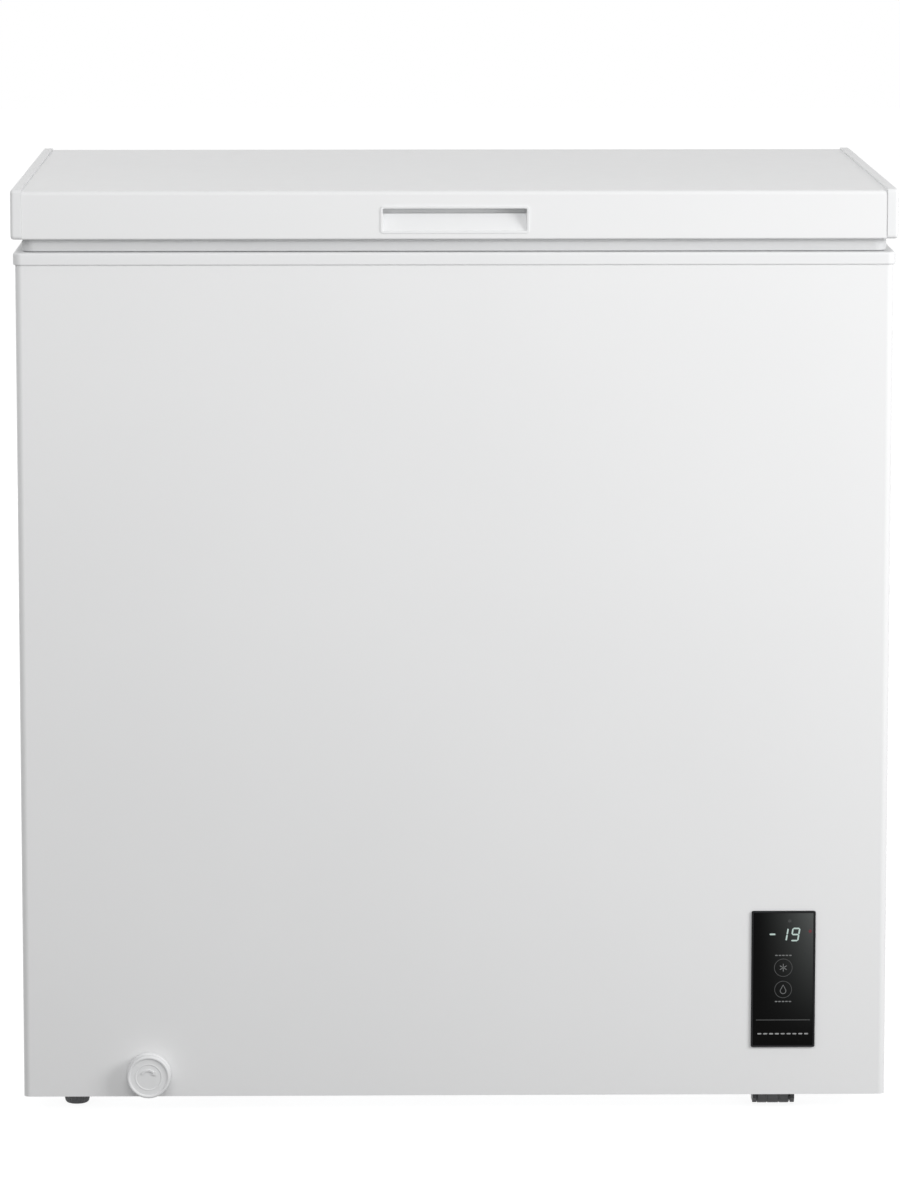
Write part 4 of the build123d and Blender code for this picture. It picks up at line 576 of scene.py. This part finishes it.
ROLLER_X, ROLLER_Z = 296.6, 8
ROLLER_YS = {"front": -228, "rear": 205}
AXLE_R, ROLLER_HALF = 2.6, 15
half_tyre = [(AXLE_R, ROLLER_HALF), (4.6, ROLLER_HALF), (4.8, 14.5), (6.2, 14.5), (6.4, 14.9), (7.2, 14.9),
             (7.8, 14.5), (8, 13.8), (8, 6.2), (7.5, 5.8), (7.5, 5.2), (8, 4.8)]
tyre = [(r, -h) for r, h in half_tyre] + half_tyre[::-1] + [(AXLE_R, -ROLLER_HALF)]
for name, y in ROLLER_YS.items():
    roller = Shape()
    roller.lathe(tyre, (ROLLER_X, y, ROLLER_Z), "x")
    put(roller, f"roller_tyre_{name}", f"roller_{name}", slot_of[f"roller_{name}"], f"roller_{name}")

# Basket: U shaped wires both ways, hoops, a thicker rim and four hooks over the top frame

BASKET_X, BASKET_W = 205, 250
BASKET_FRONT, BASKET_BACK = -205, 187
BASKET_LOW, BASKET_RIM = 588.5, 772.5
BASKET_Y, BASKET_D = (BASKET_FRONT + BASKET_BACK) / 2, BASKET_BACK - BASKET_FRONT
WIRE_R, WIRE_BEND, WIRE_IN, CORNER_ROOM = 1.4, 8, 1.5, 4
LEFT, RIGHT = BASKET_X - BASKET_W / 2 + WIRE_IN, BASKET_X + BASKET_W / 2 - WIRE_IN
NEAR, FAR = BASKET_FRONT + WIRE_IN, BASKET_BACK - WIRE_IN
LONG_WIRES, CROSS_WIRES, CROSS_PITCH, CROSS_RISE = 6, 8, 54.71, 2
HOOP_ZS, HOOP_R, HOOP_IN = (650.5, 709.5), 7, 2.8
RIM_WIRE_R, RIM_WIRE_BEND = 2.5, 9
HOOK_BEND, HOOK_LONG, HOOK_Z = 6, 26.5, RIM_TOP + 2.6
wires = Shape()
for k in range(LONG_WIRES):
    x = between(LEFT + (RIGHT - LEFT) * k / (LONG_WIRES - 1), LEFT + CORNER_ROOM, RIGHT - CORNER_ROOM)
    corners = [(x, NEAR, BASKET_RIM), (x, NEAR, BASKET_LOW), (x, FAR, BASKET_LOW), (x, FAR, BASKET_RIM)]
    wires.wire(bent(corners, WIRE_BEND), WIRE_R)
for k in range(CROSS_WIRES):
    y = between(BASKET_Y + (k - (CROSS_WIRES - 1) / 2) * CROSS_PITCH, NEAR + CORNER_ROOM, FAR - CORNER_ROOM)
    low = BASKET_LOW + CROSS_RISE
    corners = [(LEFT, y, BASKET_RIM), (LEFT, y, low), (RIGHT, y, low), (RIGHT, y, BASKET_RIM)]
    wires.wire(bent(corners, WIRE_BEND), WIRE_R)
hoop = rounded(BASKET_W - 2 * HOOP_IN, BASKET_D - 2 * HOOP_IN, HOOP_R, (BASKET_X, BASKET_Y), 5)
for z in HOOP_ZS:
    wires.wire(level(hoop, z), WIRE_R, closed=True)
put(wires, "basket_wires", "basket", "basket_wire",
    "basket_end_grids", "basket_side_grids", "basket_floor_grid")

rim_path = rounded(BASKET_W - 2 * RIM_WIRE_R, BASKET_D - 2 * RIM_WIRE_R, RIM_WIRE_BEND, (BASKET_X, BASKET_Y))
rim_wire = Shape()
rim_wire.wire(level(rim_path, BASKET_RIM), RIM_WIRE_R, 12, closed=True)
for x in (BASKET_X - BASKET_W / 3, BASKET_X + BASKET_W / 3):
    for y, way in ((BASKET_FRONT + RIM_WIRE_R, -1), (BASKET_BACK - RIM_WIRE_R, 1)):
        hook = bent([(x, y, BASKET_RIM), (x, y, HOOK_Z), (x, y + way * HOOK_LONG, HOOK_Z)], HOOK_BEND)
        rim_wire.wire(hook, RIM_WIRE_R, 12)
put(rim_wire, "basket_rim", "basket", "basket_wire", "basket_frame")

# Hinge springs: coils from the seat in the channel up to the slider

SPRING_LOW, SPRING_HIGH, SPRING_Y = 699.2, 772.5, 264.5
SPRING_R, SPRING_WIRE_R, TURNS, TURN_STEPS, FLAT_TURNS = 7.8, 1.2, 13, 16, 0.8
coils = Shape()
for x in HINGE_XS:
    helix = []
    for i in range(TURNS * TURN_STEPS + 1):
        turn = i / TURN_STEPS
        share = between((turn - FLAT_TURNS) / (TURNS - 2 * FLAT_TURNS), 0, 1)
        angle = 2 * math.pi * turn
        helix.append((x + SPRING_R * math.cos(angle), SPRING_Y + SPRING_R * math.sin(angle),
                      SPRING_LOW + (SPRING_HIGH - SPRING_LOW) * share))
    coils.wire(helix, SPRING_WIRE_R, 6)
put(coils, "spring_coils", None, "steel", "hinge_springs")
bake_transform(bpy.data.objects["spring_coils"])

# Screws: domed heads with a cross recess, in shares of the head's radius

HEAD_ROWS = ((1, 0), (1, 0.18), (0.92, 0.36), (0.74, 0.48))
RECESS_ROWS = ((1, 0.5), (0.8, 0.12))
CROSS_LONG, CROSS_WIDE, CROSS_SLOPE, NOTCH_HALF = 0.56, 0.123, 0.22, 0.2
TO_BACK, TO_RIGHT = (0, 1, 0), (1, 0, 0)


def cross(angle, long, wide):
    """Distance from the middle of a cross to its outline."""
    c, s = abs(math.cos(angle)), abs(math.sin(angle))
    return max(min(a / max(c, 1e-9), b / max(s, 1e-9)) for a, b in ((long, wide), (wide, long)))


def screw(shape, place, radius, way):
    """A screw head that faces the given way."""
    facing = Vector(way).to_track_quat("Z", "X")
    corner, notch = math.atan2(CROSS_SLOPE, 1), math.pi / 4
    angles = []
    for quarter in range(4):
        for step in (-corner, corner, notch - NOTCH_HALF, notch, notch + NOTCH_HALF):
            angles.append(quarter * math.pi / 2 + step)
    loops = []
    for r, h in HEAD_ROWS:
        loops.append([(r * radius * math.cos(a), r * radius * math.sin(a), h * radius) for a in angles])
    for size, h in RECESS_ROWS:
        edges = [cross(a, CROSS_LONG * radius, CROSS_WIDE * radius) * size for a in angles]
        loops.append([(e * math.cos(a), e * math.sin(a), h * radius) for e, a in zip(edges, angles)])
    shape.loft([[Vector(place) + facing @ Vector(p) for p in loop] for loop in loops], end=True)


CHANNEL_T, COVER_T, GRILLE_T, LEAF_T = 1.5, 0.8, 1.6, 2
CHANNEL_SCREW_R, PANEL_SCREW_R, GRILLE_SCREW_R, LEAF_SCREW_R = 3.6, 3, 2.4, 3.2
channel_screws = [(x + dx, z) for x in HINGE_XS for dx in (-23, 23) for z in (710, 768)]
leaf_screws = [(x + dx, z) for x in HINGE_XS for dx in (-16, 16) for z in (823, 841)]
cover_screws = [(x, z) for x in (175, 283, 391) for z in (248, 24)] + [(x, 136) for x in (175, 391)]
panel_screws = [(x, z) for x in (-388, 388) for z in (300, 440, 580, 740)]
panel_screws += [(x, 28) for x in (-388, -200, 0)]

cabinet_screws = Shape()
for x, z in channel_screws:
    screw(cabinet_screws, (x, BACK + CHANNEL_T, z), CHANNEL_SCREW_R, TO_BACK)
for x, z in cover_screws:
    screw(cabinet_screws, (x, BACK + COVER_T, z), PANEL_SCREW_R, TO_BACK)
for x, z in panel_screws:
    screw(cabinet_screws, (x, BACK, z), PANEL_SCREW_R, TO_BACK)
put(cabinet_screws, "cabinet_screws", "cabinet", "steel")

GRILLE_Y, GRILLE_Z, GRILLE_SCREW_Y = 60, 130, 78.5
grille_screws = Shape()
for side in LEFT_RIGHT:
    place = (SIDE_X + GRILLE_T, GRILLE_Y + side * GRILLE_SCREW_Y, GRILLE_Z)
    screw(grille_screws, place, GRILLE_SCREW_R, TO_RIGHT)
put(grille_screws, "grille_screws", "cabinet", "steel")

lid_screws = Shape()
for x, z in leaf_screws:
    screw(lid_screws, (x, LID_BACK + LEAF_T, z), LEAF_SCREW_R, TO_BACK)
put(lid_screws, "lid_screws", "lid", "steel")

# Control panel: readout and key marks, printed thin on the lens

GLASS = -267.9
INK_LOW, INK_HIGH = GLASS + 0.05, GLASS - 0.06
CTRL_X = 302.7


def bar(shape, start, stop, width):
    """A thin straight stroke on the lens, from point to point in x and z."""
    a, b = Vector(start), Vector(stop)
    along = (b - a).normalized()
    side = Vector((-along.y, along.x)) * width / 2
    nose = along * width / 2
    outline = [a + side, a - nose, a - side, b - side, b + nose, b + side]
    shape.loft([upright(outline, INK_LOW), upright(outline, INK_HIGH)], start=True, end=True)


def ring(shape, centre, radius, width, start=0, stop=360, steps=40):
    """A thin arc or ring on the lens."""
    inner, outer = radius - width / 2, radius + width / 2
    rows = []
    for r, y in ((inner, INK_LOW), (inner, INK_HIGH), (outer, INK_HIGH), (outer, INK_LOW)):
        rows.append(upright(arc(centre, r, start, stop, steps), y))
    is_open = stop - start < 360
    shape.loft([list(row) for row in zip(*rows)], start=is_open, end=is_open)


SLANT = 0.16
DIGIT_W, DIGIT_H, STROKE, STROKE_GAP = 6.2, 11.4, 1.35, 0.75
SEGMENTS = {"a": ((0, 2), (1, 2)), "b": ((1, 1), (1, 2)), "c": ((1, 0), (1, 1)), "d": ((0, 0), (1, 0)),
            "e": ((0, 0), (0, 1)), "f": ((0, 1), (0, 2)), "g": ((0, 1), (1, 1))}


def digit(shape, x, z, lit):
    """A slanted digit of the lit strokes."""
    for name in lit:
        tips = []
        for u, v in SEGMENTS[name]:
            high = (v - 1) * DIGIT_H / 2
            tips.append(Vector((x + (u - 0.5) * DIGIT_W + SLANT * high, z + high)))
        gap = (tips[1] - tips[0]).normalized() * STROKE_GAP
        bar(shape, tips[0] + gap, tips[1] - gap, STROKE)


def star(shape, centre, reach, width):
    """Three crossed strokes, the sign for cold."""
    for k in range(3):
        angle = math.radians(30 + 60 * k)
        arm = Vector((math.cos(angle), math.sin(angle))) * reach
        bar(shape, Vector(centre) - arm, Vector(centre) + arm, width)


def drop(shape, centre, width):
    """A water drop: an arc below two strokes that meet."""
    x, z = centre
    ring(shape, (x, z - 1.3), 2.6, width, -215, 35)
    for side in LEFT_RIGHT:
        bar(shape, (x + side * 2.1, z + 0.3), (x, z + 4.3), width)


def dashes(shape, z, count, pitch, length, width):
    """A plain row of dashes."""
    for k in range(count):
        x = CTRL_X + (k - (count - 1) / 2) * pitch
        bar(shape, (x - length / 2, z), (x + length / 2, z), width)


def printed(name, colour):
    return surface(name, colour, 0.5, tone=0.12, tone_scale=300, grain=900)


READOUT_Z, MINUS_Z = 168, 168.2
GLOW_COLOUR, GLOW_STRENGTH = (0.82, 1, 0.94, 1), 0.46
readout = Shape()
bar(readout, (290.4, MINUS_Z), (294.6, MINUS_Z), 1.5)
digit(readout, 302.9, READOUT_Z, "bc")
digit(readout, 313.6, READOUT_Z, "abcdfg")
glow = surface("readout_glow", (0.1, 0.13, 0.12), 0.4, grain=600)
principled(glow).inputs["Emission Color"].default_value = GLOW_COLOUR
principled(glow).inputs["Emission Strength"].default_value = GLOW_STRENGTH
put(readout, "readout", "cabinet", "black_lens", finish=glow)

STAR_KEY, DROP_KEY, SMALL_STAR = (CTRL_X, 136.8), (CTRL_X, 116.3), (308.3, 180.7)
LINE_Z, LINE_HALF, TITLE_Z, LABEL_ZS = 87.6, 24.8, 74.6, (148.4, 105)
faint = Shape()
ring(faint, STAR_KEY, 8.2, 0.5)
ring(faint, DROP_KEY, 7.8, 0.5)
star(faint, SMALL_STAR, 1.7, 0.5)
bar(faint, (CTRL_X - LINE_HALF, LINE_Z), (CTRL_X + LINE_HALF, LINE_Z), 0.7)
put(faint, "key_rings", "cabinet", "black_lens", finish=printed("print_faint", (0.06, 0.062, 0.062)))

marks = Shape()
star(marks, STAR_KEY, 3.4, 0.7)
drop(marks, DROP_KEY, 0.6)
for z in LABEL_ZS:
    dashes(marks, z, 5, 3.2, 1.6, 1.1)
put(marks, "key_marks", "cabinet", "black_lens", finish=printed("print_grey", (0.17, 0.175, 0.175)))

title = Shape()
dashes(title, TITLE_Z, 9, 5.4, 2.8, 1.3)
put(title, "title_dashes", "cabinet", "black_lens", finish=printed("print_pale", (0.32, 0.325, 0.325)))

ALARM_X, ALARM_Z = 327.2, 171
alarm_rows = [(1.5, 0.05), (1.5, -0.04), (1.1, -0.12), (0.5, -0.15)]
alarm = Shape()
alarm.lathe(alarm_rows, (ALARM_X, GLASS, ALARM_Z), "y", 20, end=True)
dim_red = surface("dim_red", (0.10, 0.012, 0.018), 0.35, tone=0.2, grain=600)
put(alarm, "alarm_lamp", "cabinet", "black_lens", finish=dim_red)

# Solids that stay: weld their facets, merge the flat ones and round their edges a little

EDGE_WIDTHS = {
    "control_bezel": 0.35, "control_lens": 0.25, "hinge_leaves": 0.6, "hinge_channels": 0.3,
    "power_inlet": 0.4, "side_grille": 0.35, "roller_brackets": 0.5, "lid_inner_panel": 1.5,
}


def soften(obj, width):
    weld = obj.modifiers.new("weld", "WELD")
    weld.merge_threshold = 1e-6
    flat = obj.modifiers.new("flat", "DECIMATE")
    flat.decimate_type = "DISSOLVE"
    flat.angle_limit = math.radians(0.5)
    edge = obj.modifiers.new("edge", "BEVEL")
    edge.width = width * MM
    edge.segments = 2
    edge.limit_method = "ANGLE"
    edge.angle_limit = math.radians(40)
    normals = obj.modifiers.new("normals", "WEIGHTED_NORMAL")
    normals.keep_sharp = True


for name, width in EDGE_WIDTHS.items():
    soften(nodes[name], width)

# Studio: a pale floor, surroundings that are seen white, and three soft lamps

FLOOR_HALF, FLOOR_GREY, FLOOR_GLOW, AMBIENT = 14.0, 0.28, 0.9, 0.49


def sight_rays(tree):
    """1 for the camera, mirror and glass rays that see white surroundings, 0 for the light that falls."""
    path = tree.nodes.new("ShaderNodeLightPath")
    direct = computed(tree, "MAXIMUM", path.outputs["Is Camera Ray"], path.outputs["Is Glossy Ray"])
    return computed(tree, "MAXIMUM", direct, path.outputs["Is Transmission Ray"])


floor_mat = bpy.data.materials.new("floor")
tree = cleared(floor_mat)
matte = new_node(tree, "ShaderNodeBsdfDiffuse", Color=(FLOOR_GREY, FLOOR_GREY, FLOOR_GREY, 1)).outputs[0]
shine = new_node(tree, "ShaderNodeEmission", Strength=FLOOR_GLOW).outputs[0]
both = tree.nodes.new("ShaderNodeAddShader")
link(tree, matte, both.inputs[0])
link(tree, shine, both.inputs[1])
new_node(tree, "ShaderNodeOutputMaterial", Surface=mixed(tree, sight_rays(tree), matte, both.outputs[0]))

floor_corners = [(FLOOR_HALF * u, FLOOR_HALF * v, 0) for u, v in ((-1, -1), (1, -1), (1, 1), (-1, 1))]
floor_mesh = bpy.data.meshes.new("floor")
floor_mesh.from_pydata(floor_corners, [], [(0, 1, 2, 3)])
floor_mesh.materials.append(floor_mat)
floor = bpy.data.objects.new("floor", floor_mesh)
scene.collection.objects.link(floor)

world = bpy.data.worlds.new("studio")
scene.world = world
tree = cleared(world)
falling = new_node(tree, "ShaderNodeBackground", Color=(1, 1, 1, 1), Strength=AMBIENT).outputs[0]
white = new_node(tree, "ShaderNodeBackground", Color=(1, 1, 1, 1), Strength=1.0).outputs[0]
new_node(tree, "ShaderNodeOutputWorld", Surface=mixed(tree, sight_rays(tree), falling, white))


def lamp(name, place, target, size, watts):
    """A soft box that doesn't show in gloss, where the white surroundings do."""
    data = bpy.data.lights.new(name, "AREA")
    data.shape = "RECTANGLE"
    data.size, data.size_y = size
    data.energy = watts
    obj = bpy.data.objects.new(name, data)
    obj.location = place
    obj.rotation_euler = (Vector(target) - Vector(place)).to_track_quat("-Z", "Y").to_euler()
    obj.visible_glossy = False
    scene.collection.objects.link(obj)


lamp("key", (1.75, -1.3, 1.05), (0.3, 0, 0.6), (0.9, 0.9), 24)
lamp("fill", (-0.25, -1.7, 1.28), (0, 0, 0.8), (1.2, 1.0), 9.5)
lamp("back", (-2.6, 2.5, 2.0), (0, 0, 0.5), (4.8, 3.6), 44)

# Camera: a long lens a little above the lid

CAMERA_PLACE = (-0.0766, -5.2653, 1.2517)
CAMERA_LENS, CAMERA_SHIFT = 166.4, -0.05
LOOK_DOWN, LOOK_RIGHT = 8.155, 0.828
camera_data = bpy.data.cameras.new("camera")
camera_data.lens = CAMERA_LENS
camera_data.sensor_width = 36
camera_data.shift_y = CAMERA_SHIFT
camera_data.clip_end = 60
camera = bpy.data.objects.new("camera", camera_data)
camera.location = CAMERA_PLACE
camera.rotation_euler = (math.radians(90 - LOOK_DOWN), 0, math.radians(-LOOK_RIGHT))
scene.collection.objects.link(camera)
scene.camera = camera
